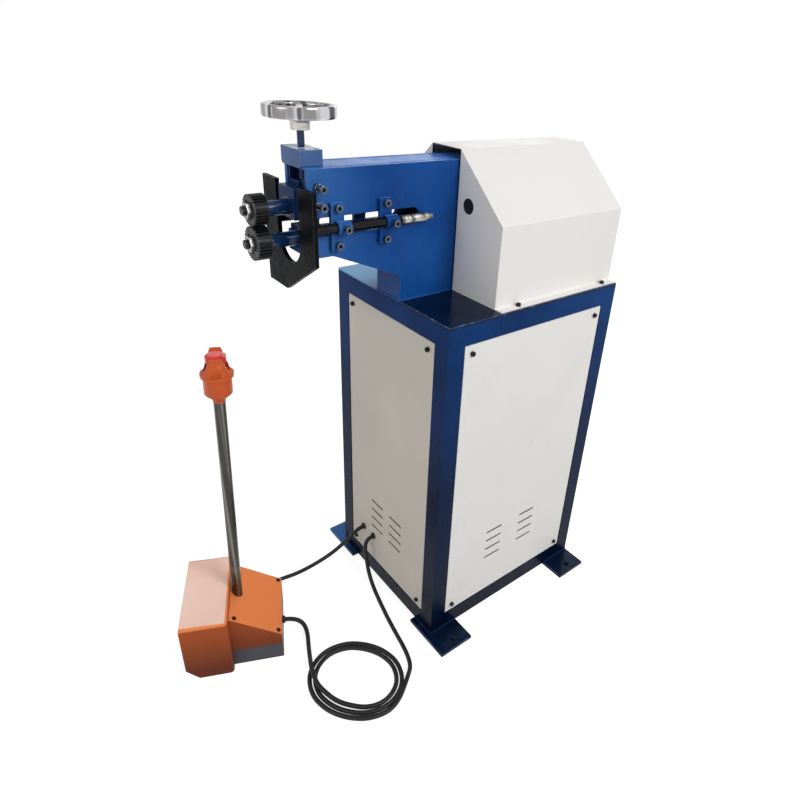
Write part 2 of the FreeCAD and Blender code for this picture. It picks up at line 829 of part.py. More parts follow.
def handwheel_and_screw():
    top = handwheel_rim_bottom + handwheel_rim_height
    foot = rod(screw_foot_radius, (0, slide_y, screw_bottom + seat_gap),
               (0, slide_y, screw_bottom + screw_foot_height))
    stem = rod(screw_radius, (0, slide_y, screw_bottom + 1), (0, slide_y, screw_end))
    stem = stem.makeChamfer(screw_end_chamfer, [e for e in stem.Edges if e.BoundBox.ZMin > screw_end - 1])
    write("pressure_screw", joined([foot, stem]))
    write("handwheel", handwheel(top))


def handwheel(top):
    """Flat-rimmed handwheel: rim, three spokes, coned web and hub."""
    outer = handwheel_radius
    inner = handwheel_radius - handwheel_rim_width
    z0 = handwheel_rim_bottom
    rim = ring(outer, inner, (0, slide_y, z0), (0, slide_y, top))
    rim = rim.makeFillet(2.0, [e for e in rim.Edges if abs(e.Length - 2 * math.pi * outer) < 1.0])
    hub_top = z0 + handwheel_rim_height * 0.55
    hub = rod(handwheel_hub_radius, (0, slide_y, handwheel_hub_bottom), (0, slide_y, hub_top))
    cone_start = handwheel_hub_bottom + handwheel_cone_start
    cone = Part.makeCone(handwheel_hub_radius, handwheel_hub_radius + z0 - cone_start, z0 - cone_start,
                         Vector(0, slide_y, cone_start), Vector(0, 0, 1))
    pieces = [rim, hub, cone]
    for k in range(handwheel_spokes):
        spoke = box(0, inner + 2.0, -handwheel_spoke_width / 2.0, handwheel_spoke_width / 2.0, 0,
                    handwheel_web_thickness)
        turn = Rotation(Vector(0, 0, 1), 90.0 + 360.0 * k / handwheel_spokes)
        pieces.append(placed(spoke, Placement(Vector(0, slide_y, z0), turn)))
    bore = rod(screw_radius + seat_gap, (0, slide_y, handwheel_hub_bottom - 1),
               (0, slide_y, screw_end))
    return joined(pieces).cut(bore)


def roller(axis_z, radius):
    """Beading roller with straight axial teeth, bored for its shaft."""
    length = roller_length
    body = rod(radius, (0, 0, 0), (0, length, 0))
    groove_width = math.pi * radius / roller_teeth
    grooves = []
    for k in range(roller_teeth):
        deep = radius - roller_groove_depth
        half = groove_width / 2.0
        groove = prism([(-half * 0.75, -1, deep), (half * 0.75, -1, deep), (half * 1.05, -1, radius + 1),
                        (-half * 1.05, -1, radius + 1)], (0, length + 2, 0))
        turn_k = Rotation(Vector(0, 1, 0), 360.0 * k / roller_teeth)
        grooves.append(placed(groove, Placement(Vector(0, 0, 0), turn_k)))
    bore = rod(roller_seat_radius + seat_gap, (0, -1, 0), (0, length + 1, 0))
    body = body.cut(Part.makeCompound(grooves + [bore]))
    recess = rod(roller_recess_radius, (0, -1, 0), (0, roller_recess_depth, 0))
    body = body.cut(recess)
    return placed(body, Placement(Vector(0, roller_face, axis_z), Rotation()))


def roller_nut(axis_z):
    y0 = roller_face + roller_recess_depth
    nut = hexagon(nut_across_flats, nut_thickness, (0, y0, axis_z), (0, -1, 0))
    return nut.cut(rod(thread_radius + seat_gap, (0, y0 + 1, axis_z), (0, y0 - 30, axis_z)))


def spur_gear(axis_z, tooth_angle):
    """Spur gear with straight-flanked teeth; tooth_angle is where one tooth points, from +Z."""
    pitch_radius = gear_module * gear_teeth / 2.0
    tip = pitch_radius + gear_module - gear_tip_relief
    root = pitch_radius - 1.25 * gear_module - gear_root_relief
    thickness = math.pi * gear_module / 2.0 - gear_backlash
    lean = math.tan(math.radians(20.0))
    body = rod(root, (0, 0, 0), (0, gear_width, 0))
    teeth = []
    for k in range(gear_teeth):
        half_root = thickness / 2.0 + lean * (pitch_radius - root) * 0.8
        half_tip = thickness / 2.0 - lean * (tip - pitch_radius) * 1.1
        tooth = prism([(-half_root, 0, root - 1.5), (half_root, 0, root - 1.5), (half_tip, 0, tip),
                       (-half_tip, 0, tip)], (0, gear_width, 0))
        turn = Rotation(Vector(0, 1, 0), tooth_angle + 360.0 * k / gear_teeth)
        teeth.append(placed(tooth, Placement(Vector(0, 0, 0), turn)))
    gear = joined([body] + teeth).cut(rod(shaft_rear_radius + seat_gap, (0, -1, 0), (0, gear_width + 1, 0)))
    return placed(gear, Placement(Vector(0, gear_front, axis_z), Rotation()))


def shafts():
    stub_front = roller_face - thread_length
    nut_seat = roller_face + roller_recess_depth
    lower = [(thread_radius, stub_front, nut_seat), (roller_seat_radius, nut_seat, roller_back),
             (shaft_front_radius, roller_back, front_y - lower_neck_reach),
             (shaft_middle_radius, front_y - lower_neck_reach, arm_rear - bearing_gap),
             (shaft_rear_radius, arm_rear - bearing_gap, coupling_front + coupling_half_length)]
    upper = [(thread_radius, stub_front, nut_seat), (roller_seat_radius, nut_seat, roller_back),
             (shaft_front_radius, roller_back, slide_rear), (shaft_middle_radius, slide_rear, arm_rear - 2.0),
             (shaft_rear_radius, arm_rear - 2.0, front_y + upper_shaft_end)]
    ball = Part.makeSphere(journal_radius, Vector(0, slide_y, upper_axis_z))
    band = box(-30, 30, slide_y - journal_half_width, slide_y + journal_half_width, upper_axis_z - 30,
               upper_axis_z + 30)
    write("lower_shaft", stepped(0, lower_axis_z, lower))
    write("upper_shaft", joined([stepped(0, upper_axis_z, upper), ball.common(band)]))
    write("lower_roller", roller(lower_axis_z, lower_roller_radius))
    write("upper_roller", roller(upper_axis_z, upper_roller_radius))
    write("lower_roller_nut", roller_nut(lower_axis_z))
    write("upper_roller_nut", roller_nut(upper_axis_z))
    write("lower_gear", spur_gear(lower_axis_z, 0.0))
    write("upper_gear", spur_gear(upper_axis_z, 180.0 / gear_teeth))


def bearing_plate_bolts():
    x = arm_inner - bearing_bolt_inset_x
    return [(sx * x, z) for sx in (-1, 1) for z in (bearing_plate_bottom + bearing_bolt_inset_z, bearing_plate_top - bearing_bolt_inset_z)]


def rear_bearings():
    """Plate on the arm's rear end with a fixed lower bearing and a swivelling upper one."""
    y0 = arm_rear
    y1 = arm_rear + bearing_plate_thickness
    plate = box(-arm_half_width, arm_half_width, y0, y1, bearing_plate_bottom, bearing_plate_top)
    shoulder = bearing_shoulder
    lower_bore = joined([rod(bearing_outer_radius + seat_gap, (0, y0 + shoulder, lower_axis_z),
                             (0, y1 + 1, lower_axis_z)),
                         rod(bearing_outer_radius - 4.0, (0, y0 - 1, lower_axis_z),
                             (0, y0 + shoulder + 1, lower_axis_z))])
    cup = Part.makeSphere(bearing_outer_radius + running_gap, Vector(0, pivot_y, upper_axis_z))
    bolts = [rod(m8_radius + seat_gap, (x, y0 - 1, z), (x, y1 + 1, z)) for x, z in bearing_plate_bolts()]
    write("rear_bearing_plate", plate.cut(Part.makeCompound([lower_bore, cup] + bolts)))
    lower = ring(bearing_outer_radius, shaft_rear_radius + bearing_gap, (0, y0 + shoulder, lower_axis_z),
                 (0, y0 + shoulder + bearing_width, lower_axis_z))
    ball = Part.makeSphere(bearing_outer_radius, Vector(0, pivot_y, upper_axis_z))
    band = box(-30, 30, pivot_y - insert_half_width, pivot_y + insert_half_width, upper_axis_z - 30,
               upper_axis_z + 30)
    bore = rod(shaft_rear_radius + bearing_gap, (0, y0 - 5, upper_axis_z), (0, y1 + 5, upper_axis_z))
    write("lower_rear_bearing", lower)
    write("upper_rear_bearing", ball.common(band).cut(bore))


def coupling():
    """Jaw coupling between the lower shaft and the reducer: two halves and an elastic spider."""
    centre = lower_axis_z
    middle = coupling_front + coupling_half_length
    spider_end = middle + coupling_spider_width
    spider_hub = ring(coupling_radius * 0.45, 4.0, (0, middle, centre), (0, spider_end, centre))
    arms = []
    jaw_cuts = []
    for k in range(2 * coupling_jaws):
        arm_bar = box(0, coupling_radius - 1.0, 0, coupling_spider_width, -4.0, 4.0)
        turn = Rotation(Vector(0, 1, 0), 180.0 * k / coupling_jaws)
        arms.append(placed(arm_bar, Placement(Vector(0, middle, centre), turn)))
    spider = joined([spider_hub] + arms)
    spider = spider.cut(rod(4.0, (0, middle - 1, centre), (0, spider_end + 1, centre)))
    front_half = ring(coupling_radius, shaft_rear_radius + seat_gap, (0, coupling_front, centre),
                      (0, middle, centre))
    rear_half = ring(coupling_radius, output_shaft_radius + seat_gap, (0, spider_end, centre),
                     (0, coupling_rear, centre))
    write("coupling_halves", front_half, rear_half)
    write("coupling_spider", spider)
    write("reducer_output_shaft", rod(output_shaft_radius, (0, spider_end + 1.0, centre),
                                      (0, reducer_rear - 10.0, centre)))


def reducer():
    """Worm reducer: cast housing, stand and the flange that carries the motor below."""
    centre = lower_axis_z
    housing = box(reducer_left, reducer_right, reducer_front, reducer_rear, reducer_bottom,
                  centre + reducer_half_height)
    edges = [e for e in housing.Edges if e.BoundBox.YLength > 1.0]
    housing = housing.makeFillet(14.0, edges)
    boss = rod(38.0, (0, reducer_front - 8.0, centre), (0, reducer_front + 1.0, centre))
    neck = rod(worm_flange_radius - 14.0, (-worm_offset, reducer_y, motor_top + 8.0),
               (-worm_offset, reducer_y, reducer_bottom + 20.0))
    flange = rod(worm_flange_radius, (-worm_offset, reducer_y, motor_top),
                 (-worm_offset, reducer_y, motor_top + 10.0))
    bore = rod(output_shaft_radius + running_gap, (0, reducer_front - 10.0, centre),
               (0, reducer_rear - 8.0, centre))
    worm_way = rod(motor_shaft_radius + running_gap, (-worm_offset, reducer_y, motor_top - 1.0),
                   (-worm_offset, reducer_y, centre + 40.0))
    write("reducer_housing", joined([housing, boss, neck, flange]).cut(Part.makeCompound([bore, worm_way])))
    write("reducer_stand", reducer_stand())


def reducer_stand():
    t = stand_thickness
    z1 = reducer_bottom
    top = box(stand_left, reducer_right, reducer_front, reducer_rear, z1 - t, z1)
    foot = box(reducer_right - t, reducer_right + 30.0, reducer_front, reducer_rear, cabinet_height,
               cabinet_height + t)
    web = box(reducer_right - t, reducer_right, reducer_front, reducer_rear, cabinet_height, z1)
    ribs = []
    for y0 in (reducer_front, reducer_rear - t):
        ribs.append(prism([(reducer_right - t, y0, cabinet_height + 22.0), (reducer_right - t, y0, z1 - t),
                           (stand_left, y0, z1 - t)], (0, t, 0)))
    return joined([top, foot, web] + ribs)


def motor():
    """Finned vertical motor hung from the reducer flange, its terminal box, fan cover, rotor and fan."""
    x = -worm_offset
    y = reducer_y
    flange_bottom = motor_top - motor_flange_thickness
    body = rod(motor_radius, (x, y, motor_bottom), (x, y, flange_bottom))
    flange = rod(motor_flange_radius, (x, y, flange_bottom), (x, y, motor_top))
    fins = []
    for k in range(motor_fins):
        fin = box(motor_radius - 2.0, motor_radius + motor_fin_height, -1.5, 1.5, motor_bottom + fan_cover_lap + 2.0,
                  flange_bottom - 14.0)
        fins.append(placed(fin, Placement(Vector(x, y, 0), Rotation(Vector(0, 0, 1), 360.0 * k / motor_fins))))
    depth, wide, tall = terminal_box_size
    z0 = motor_bottom + 60.0
    terminal = box(x + motor_radius - 4.0, x + motor_radius + depth, y - wide / 2.0, y + wide / 2.0, z0, z0 + tall)
    hollow = rod(motor_radius - motor_wall, (x, y, motor_bottom + motor_wall),
                 (x, y, flange_bottom - motor_wall))
    shaft_way = rod(motor_shaft_radius + running_gap, (x, y, motor_bottom - 1), (x, y, motor_top + 1))
    housing = joined([flange, body, terminal] + fins).cut(Part.makeCompound([hollow, shaft_way]))
    write("motor_housing", housing, fan_cover(x, y))
    write("motor_rotor", rotor(x, y, flange_bottom))


def fan_cover(x, y):
    inner = motor_radius + seat_gap
    z1 = motor_bottom + fan_cover_lap
    z0 = motor_bottom - fan_cover_length
    cover = rod(inner + fan_cover_wall, (x, y, z0), (x, y, z1))
    cover = cover.cut(rod(inner, (x, y, z0 + fan_cover_wall), (x, y, z1 + 1)))
    holes = []
    for ring_radius, count in ((16.0, 6), (32.0, 12), (48.0, 18)):
        for k in range(count):
            angle = 2.0 * math.pi * k / count
            hx = x + ring_radius * math.cos(angle)
            hy = y + ring_radius * math.sin(angle)
            holes.append(rod(3.5, (hx, hy, z0 - 1), (hx, hy, z0 + 5)))
    return cover.cut(Part.makeCompound(holes))


def rotor(x, y, flange_bottom):
    shaft = rod(motor_shaft_radius, (x, y, motor_bottom - fan_cover_length + 20.0),
                (x, y, lower_axis_z + motor_shaft_above_axis))
    core = rod(rotor_radius, (x, y, motor_bottom + rotor_end_room),
               (x, y, flange_bottom - rotor_end_room))
    z0 = motor_bottom - fan_cover_length + 22.0
    hub = rod(18.0, (x, y, z0), (x, y, motor_bottom - 8.0))
    blades = []
    for k in range(fan_blades):
        blade = box(0, fan_radius, -1.0, 1.0, z0, motor_bottom - 8.0)
        blades.append(placed(blade, Placement(Vector(x, y, 0), Rotation(Vector(0, 0, 1), 360.0 * k / fan_blades))))
    return joined([shaft, core, hub] + blades)


def control_box():
    x0 = -post_inner + control_rail_thickness
    x1 = x0 + control_box_width
    y0 = middle_y - control_box_length / 2.0
    y1 = middle_y + control_box_length / 2.0
    z0 = control_box_bottom
    z1 = z0 + control_box_height
    w = control_box_wall
    shell = box(x0, x1, y0, y1, z0, z1).cut(box(x0 + w, x1 + w, y0 + w, y1 - w, z0 + w, z1 - w))
    lid = box(x1, x1 + w, y0 - w, y1 + w, z0 - w, z1 + w)
    contactor = box(x0 + w, x0 + w + 60.0, middle_y - 35.0, middle_y + 35.0, z0 + 120.0, z0 + 200.0)
    terminals = box(x0 + w, x0 + w + 30.0, y0 + 20.0, y1 - 20.0, z0 + 30.0, z0 + 55.0)
    return shell, lid, contactor, terminals


def hood_screw_places():
    x = hood_half_width + hood_flange / 2.0
    return [(side * x, front_y + behind) for side in (-1, 1) for behind in hood_screw_positions]


def hood_outline(inset):
    """Cross-section of the gear hood as (x, z), inset by the wall for its inside."""
    slope = math.atan2(hood_top - hood_shoulder, hood_half_width - hood_top_half_width)
    side_drop = inset * math.tan(slope / 2.0)
    top_shift = inset * math.tan((math.pi / 2.0 - (math.pi / 2.0 - slope)) / 2.0)
    shoulder = hood_shoulder - inset * math.tan((math.pi / 2.0 - slope) / 2.0)
    top_x = hood_top_half_width - top_shift
    side_x = hood_half_width - inset
    top = hood_top - inset
    base = cabinet_height - (1.0 if side_drop > 0 else 0.0)
    return [(-side_x, base), (side_x, base), (side_x, shoulder), (top_x, top), (-top_x, top),
            (-side_x, shoulder)]


def hood():
    """Folded sheet hood over the gears, open below, with flanges and an opening for the arm."""
    outer = prism([(x, hood_front, z) for x, z in hood_outline(0.0)], (0, rear_y - hood_front, 0))
    inside_length = rear_y - hood_front - 2.0 * hood_wall
    inner = prism([(x, hood_front + hood_wall, z) for x, z in hood_outline(hood_wall)], (0, inside_length, 0))
    shell = outer.cut(inner)
    gap = arm_half_width + hood_arm_gap
    opening = box(-gap, gap, hood_front - 1, hood_front + hood_wall + 0.5, cabinet_height - 1,
                  hood_top - hood_wall)
    spy_hole = rod(hood_hole_radius, (hood_hole_x, hood_front - 1, hood_hole_z),
                   (hood_hole_x, hood_front + 5, hood_hole_z))
    shell = shell.cut(Part.makeCompound([opening, spy_hole]))
    flanges = []
    for side in (-1, 1):
        x0 = min(side * (hood_half_width - hood_wall), side * (hood_half_width + hood_flange))
        flanges.append(box(x0, x0 + hood_flange + hood_wall, hood_front, rear_y, cabinet_height,
                           cabinet_height + hood_wall))
    holes = [rod(m5_radius + seat_gap, (x, y, cabinet_height - 1), (x, y, cabinet_height + 5))
             for x, y in hood_screw_places()]
    return joined([shell] + flanges).cut(Part.makeCompound(holes))


def gauge_plate():
    """Notched plate that the sheet edge runs against, round the two shafts."""
    outline = [(-gauge_half_width, gauge_top), (-gauge_half_width, gauge_bottom),
               (gauge_corner_start, gauge_bottom), (gauge_half_width, gauge_corner_top),
               (gauge_half_width, gauge_top)]
    plate = prism([(x, gauge_face, z) for x, z in outline], (0, gauge_thickness, 0))
    notch = box(-gauge_notch_half_width, gauge_notch_half_width, gauge_face - 1, gauge_back + 1, lower_axis_z,
                gauge_top + 1)
    round_end = rod(gauge_notch_half_width, (0, gauge_face - 1, lower_axis_z), (0, gauge_back + 1, lower_axis_z))
    return plate.cut(Part.makeCompound([notch, round_end]))


def gauge_rod():
    end_y = front_y - rod_end_reach
    bar = rod(rod_radius, (rod_offset, gauge_back, rod_z), (rod_offset, end_y - rod_taper, rod_z))
    tip = Part.makeCone(rod_radius, rod_radius * 0.7, rod_taper, Vector(rod_offset, end_y - rod_taper, rod_z),
                        Vector(0, 1, 0))
    return joined([bar, tip])


def gauge_clamp(reach):
    """Plate screwed across the throat with a welded ring that holds the gauge rod."""
    y = front_y - reach
    half = clamp_plate_width / 2.0
    outer_x = arm_half_width + clamp_plate_thickness
    plate = box(arm_half_width, outer_x, y - half, y + half, rod_z - clamp_plate_height / 2.0,
                rod_z + clamp_plate_height / 2.0)
    ring_y = y + clamp_ring_shift
    ring_half = clamp_ring_length / 2.0
    start = (rod_offset, ring_y - ring_half, rod_z)
    end = (rod_offset, ring_y + ring_half, rod_z)
    cuts = [rod(rod_radius + rod_gap, (rod_offset, y - 40, rod_z), (rod_offset, y + 40, rod_z))]
    for up in (-clamp_screw_spread, clamp_screw_spread):
        cuts.append(rod(m8_radius + seat_gap, (arm_inner, y, rod_z + up), (outer_x + 1, y, rod_z + up)))
    boss_x = rod_offset + clamp_boss_reach
    boss = rod(clamp_boss_radius, (rod_offset, ring_y, rod_z), (boss_x, ring_y, rod_z))
    cuts.append(rod(m8_radius + seat_gap, (rod_offset, ring_y, rod_z), (boss_x + 1, ring_y, rod_z)))
    return joined([plate, rod(clamp_ring_radius, start, end), boss]).cut(Part.makeCompound(cuts))


def gauge():
    clamps = [gauge_clamp(reach) for reach in clamp_reaches]
    write("gauge_plate", gauge_plate())
    write("gauge_rods", gauge_rod(), mirrored(gauge_rod()))
    write("gauge_clamps", *(clamps + [mirrored(clamp) for clamp in clamps]))


def socket_screws():
    """All the socket-head screws of the arm: clamp plates, rod rings, top block, bearing plate."""
    screws = []
    clamp_face = arm_half_width + clamp_plate_thickness
    boss_x = rod_offset + clamp_boss_reach
    for side in (-1, 1):
        for reach in clamp_reaches:
            y = front_y - reach
            for up in (-clamp_screw_spread, clamp_screw_spread):
                screws.append(m8_screw((side * clamp_face, y, rod_z + up), (side, 0, 0),
                                       clamp_plate_thickness + arm_side_thickness))
            shank = clamp_boss_reach - rod_radius - running_gap
            screws.append(m8_screw((side * (boss_x + seat_gap), y + clamp_ring_shift, rod_z), (side, 0, 0), shank))
    for x, y in top_bolts():
        screws.append(m6_screw((x, y, block_top - m6_head_height), (0, 0, 1), top_bolt_length))
    for x, z in bearing_plate_bolts():
        screws.append(m8_screw((x, arm_rear + bearing_plate_thickness, z), (0, 1, 0),
                               bearing_plate_thickness + arm_rear_thickness))
    return screws


def cover_screws():
    """All the small black screws: cabinet panels, hood flanges and the lid of the foot switch."""
    screws = []
    for face in panel_faces().values():
        middle, across, outward, _ = face
        for inset, height in panel_screw_points(face):
            seat = middle + across * inset + Vector(0, 0, height) - outward * (panel_recess - seat_gap)
            screws.append(cover_screw((seat.x, seat.y, seat.z), (outward.x, outward.y, outward.z)))
    for x, y in hood_screw_places():
        screws.append(cover_screw((x, y, cabinet_height + hood_wall + seat_gap), (0, 0, 1)))
    return screws


def cable_glands():
    """Rubber grommets where the two cables leave the cabinet, and the mains gland at the rear."""
    pieces = []
    for x in (stop_cable_exit_x, pedal_cable_exit_x):
        outside = front_y + panel_recess
        inside = outside + panel_thickness
        disc = rod(grommet_radius, (x, outside - grommet_proud, cable_exit_z), (x, outside, cable_exit_z))
        neck = rod(grommet_neck_radius - seat_gap, (x, outside, cable_exit_z), (x, inside, cable_exit_z))
        lip = rod(grommet_radius, (x, inside, cable_exit_z), (x, inside + 2.0, cable_exit_z))
        way = rod(cable_radius + grommet_gap, (x, outside - 20, cable_exit_z), (x, inside + 10, cable_exit_z))
        pieces.append(joined([disc, neck, lip]).cut(way))
    outside = rear_y - panel_recess
    inside = outside - panel_thickness
    x = mains_gland_x
    z = mains_gland_z
    body = hexagon(1.8 * mains_gland_radius, 8.0, (x, outside, z), (0, 1, 0))
    dome = rod(mains_gland_radius - 3.0, (x, outside + 7.0, z), (x, outside + mains_gland_length - 10.0, z))
    neck = rod(mains_gland_radius - 4.0 - seat_gap, (x, inside - 6.0, z), (x, outside + 1.0, z))
    nut = hexagon(1.8 * mains_gland_radius, 5.0, (x, inside - 5.0, z), (0, 1, 0))
    way = rod(mains_gland_bore_radius, (x, inside - 20, z), (x, outside + 40, z))
    pieces.append(joined([body, dome, neck, nut]).cut(way))
    return pieces


def pedal_place():
    return Placement(Vector(pedal_x, pedal_y, 0), Rotation(Vector(0, 0, 1), pedal_turn))


def pedal_point(u, v, z):
    return pedal_place().multVec(Vector(u, v, z))


def in_pedal(shape):
    return placed(shape, pedal_place())


def lid_height(v):
    return pedal_lid_top - pedal_lid_slope * (v - pedal_hood_depth)


def pedal_hood():
    """Orange casting: hood over the treadle with a mouth in front, and the sloping box behind it."""
    w = pedal_half_width
    g = pedal_hood_ground_gap
    d = pedal_hood_depth
    side = [(0, pedal_hood_height), (0, pedal_mouth_bottom), (pedal_mouth_run, g), (d, g), (d, pedal_hood_height)]
    outer = prism([(-w, v, z) for v, z in side], (2 * w, 0, 0))
    corners = [e for e in outer.Edges if e.BoundBox.ZLength > d and e.BoundBox.YMin > d - 1]
    roof = [e for e in outer.Edges if e.BoundBox.ZMin > pedal_hood_height - 1 and e.BoundBox.YMax > 1]
    outer = outer.makeFillet(pedal_hood_corner, corners + roof)
    t = pedal_wall
    inner = box(-w + t, w - t, -1, d - t, -1, pedal_hood_height - t)
    shell = outer.cut(inner)
    b = pedal_box_half_width
    low = pedal_tray_height + seat_gap
    rear = [(d - 1, low), (pedal_length, low), (pedal_length, pedal_lid_low), (d - 1, lid_height(d - 1))]
    box_outer = prism([(-b, v, z) for v, z in rear], (2 * b, 0, 0))
    box_inner = prism([(-b + t, v, z) for v, z in [(d, low - 1), (pedal_length - t, low - 1),
                       (pedal_length - t, pedal_hood_height), (d, pedal_hood_height)]], (2 * (b - t), 0, 0))
    casting = joined([shell, box_outer.cut(box_inner)])
    window = box(-treadle_half_width - 1, treadle_half_width + 1, d - t - 1, d + 1, -1, pedal_tray_height)
    pole_way = pole_bar(pole_radius + pole_gap, pedal_floor, pole_top)
    return casting.cut(Part.makeCompound([window, pole_way, pedal_gland_ways()]))


def pedal_lid():
    """Sloping cover plate of the rear box, bored for the pole."""
    b = pedal_box_half_width
    rise = pedal_lid_thickness / math.cos(math.radians(pedal_lid_angle))
    v0 = pedal_hood_depth + seat_gap
    plate = prism([(-b, v0, lid_height(v0) + seat_gap), (-b, pedal_length, pedal_lid_low + seat_gap),
                   (-b, pedal_length, pedal_lid_low + rise), (-b, v0, lid_height(v0) + rise)], (2 * b, 0, 0))
    return plate.cut(pole_bar(pole_radius + pole_gap, pedal_floor, pole_top))


def pedal_lid_screws():
    screws = []
    slope = math.radians(pedal_lid_angle)
    normal = Vector(0, math.sin(slope), math.cos(slope))
    inset = 9.0
    for u in (-pedal_box_half_width + inset, pedal_box_half_width - inset):
        for v in (pedal_hood_depth + inset, pedal_length - inset):
            seat = Vector(u, v, lid_height(v)) + normal * (pedal_lid_thickness + seat_gap)
            head = Part.makeCone(m5_head_radius, m5_head_radius * 0.75, m5_head_height, seat, normal)
            screws.append(in_pedal(head))
    return screws


def pole_frame():
    """Frame of the leaning pole: its foot on the tray floor, its axis tilted toward the rear."""
    foot = Vector(0, pole_v, pedal_floor)
    return Placement(foot, Rotation(Vector(1, 0, 0), -pole_lean))


def pole_bar(radius, z0, z1):
    """Round bar on the pole's axis between two heights, in the pedal's frame."""
    bar = Part.makeCylinder(radius, z1 - z0, Vector(0, 0, z0 - pedal_floor))
    return placed(bar, pole_frame())


def on_pole(shape):
    """Shape drawn upright about the Z axis at its true height, moved onto the leaning pole."""
    lowered = placed(shape, Placement(Vector(0, 0, -pedal_floor), Rotation(Vector(0, 0, 1), stop_turn)))
    return in_pedal(placed(lowered, pole_frame()))


def lathe(points):
    """Solid of revolution about Z from (radius, z) points."""
    outline = [Vector(r, 0, z) for r, z in points]
    return Part.Face(Part.makePolygon(outline + outline[:1])).revolve(Vector(0, 0, 0), Vector(0, 0, 1), 360)


def stop_cup():
    """Orange shroud of the emergency stop, with two upstanding guards."""
    neck = stop_neck_radius
    skin = lathe([(0, pole_top - stop_neck_height), (neck, pole_top - stop_neck_height), (neck, pole_top + 4.0),
                  (stop_body_radius, stop_body_bottom), (stop_body_radius, stop_rim_bottom),
                  (stop_rim_radius, stop_rim_bottom + 2.0), (stop_rim_radius, stop_rim_top), (0, stop_rim_top)])
    inner = stop_body_radius - shield_thickness
    cavity = lathe([(0, pole_top + 12.0), (neck - 4.0, pole_top + 12.0), (inner, stop_body_bottom + 3.0),
                    (inner, stop_rim_bottom), (0, stop_rim_bottom)])
    socket = lathe([(0, 0), (pole_radius + seat_gap, 0), (pole_radius + seat_gap, pole_top), (0, pole_top)])
    way = lathe([(0, stop_rim_bottom - 5), (stop_stem_radius + running_gap, stop_rim_bottom - 5),
                 (stop_stem_radius + running_gap, stop_rim_top + 5), (0, stop_rim_top + 5)])
    cup = skin.cut(Part.makeCompound([cavity, socket, way]))
    return joined([cup, guard(1), guard(-1)])


def guard(side):
    """Curved upright guard beside the mushroom, wide below and narrow above."""
    z0 = stop_rim_top - 1.0
    wall = ring(shield_radius, shield_radius - shield_thickness, (0, 0, z0), (0, 0, shield_top))
    face = prism([(0, -shield_base_half_width, z0), (0, shield_base_half_width, z0),
                  (0, shield_top_half_width, shield_top), (0, -shield_top_half_width, shield_top)],
                 (side * 60.0, 0, 0))
    return wall.common(face)


def stop_button():
    """Red mushroom head of the emergency stop."""
    return lathe([(0, stop_skirt_bottom), (stop_skirt_radius, stop_skirt_bottom),
                  (stop_skirt_radius, stop_button_bottom), (stop_button_radius - 2.0, stop_button_bottom),
                  (stop_button_radius, stop_button_bottom + 3.0),
                  (stop_button_radius, stop_button_top - 4.0), (stop_button_radius - 5.0, stop_button_top - 1.0),
                  (stop_button_radius - 9.0, stop_button_top), (0, stop_button_top)])


def pedal_base():
    """Dark tray: floor under the treadle, walled tray behind, ears for the treadle pin, pole socket."""
    t = pedal_wall
    w = pedal_half_width - t - seat_gap
    b = pedal_box_half_width
    d = pedal_hood_depth
    floor = box(-w, w, pedal_mouth_run, d - t - seat_gap, 0, pedal_floor)
    tray = box(-b, b, d + seat_gap, pedal_length, 0, pedal_tray_height)
    tray = tray.cut(box(-b + t, b - t, d + t, pedal_length - t, pedal_floor, pedal_tray_height + 1))
    link = box(-treadle_half_width, treadle_half_width, d - t - 1, d + 1, 0, pedal_floor)
    ears = []
    for side in (-1, 1):
        x0 = side * (treadle_half_width + treadle_ear_inset)
        x0 = x0 if side > 0 else x0 - treadle_ear_thickness
        ear = box(x0, x0 + treadle_ear_thickness, treadle_hinge_v - 9, treadle_hinge_v + 9, pedal_floor - 1,
                  treadle_hinge_z)
        top = rod(9.0, (x0, treadle_hinge_v, treadle_hinge_z),
                  (x0 + treadle_ear_thickness, treadle_hinge_v, treadle_hinge_z))
        ears.append(joined([ear, top]))
    socket = pole_bar(pole_radius + pole_socket_wall, pedal_floor, pedal_floor + pole_socket_height)
    pin_way = rod(treadle_pin_radius + seat_gap, (-w, treadle_hinge_v, treadle_hinge_z),
                  (w, treadle_hinge_v, treadle_hinge_z))
    tail_room = box(-treadle_half_width - 1, treadle_half_width + 1, d - t - 2, d + t + 1, pedal_floor,
                    pedal_tray_height + 1)
    body = joined([floor, tray, link] + ears).cut(Part.makeCompound([pin_way, tail_room]))
    body = joined([body, socket])
    return body.cut(Part.makeCompound([pole_bar(pole_radius + seat_gap, pedal_floor, 60.0), pedal_gland_ways()]))


def treadle():
    """Foot treadle: plate sloping up to the front, hinged on a pin at its rear."""
    w = treadle_half_width
    v1 = treadle_hinge_v
    z1 = treadle_hinge_z
    front_z = z1 + treadle_rise
    t = treadle_plate_thickness
    profile = [(treadle_front, front_z), (treadle_front, front_z + t), (v1, z1 + t + 3.0), (v1, z1 + 3.0)]
    plate = prism([(-w, v, z) for v, z in profile], (2 * w, 0, 0))
    lip = box(-w, w, treadle_front, treadle_front + 4.0, front_z - 6.0, front_z + t)
    boss = rod(treadle_boss_radius, (-w, v1, z1), (w, v1, z1))
    cheeks = []
    for x0 in (-w, w - 4.0):
        cheeks.append(prism([(x0, treadle_front + 6.0, front_z - 6.0), (x0, treadle_front + 6.0, front_z + 1.0),
                             (x0, v1, z1 + 4.0), (x0, v1, z1 - 4.0)], (4.0, 0, 0)))
    way = rod(treadle_pin_radius + running_gap, (-w - 1, v1, z1), (w + 1, v1, z1))
    return joined([plate, lip, boss] + cheeks).cut(way)


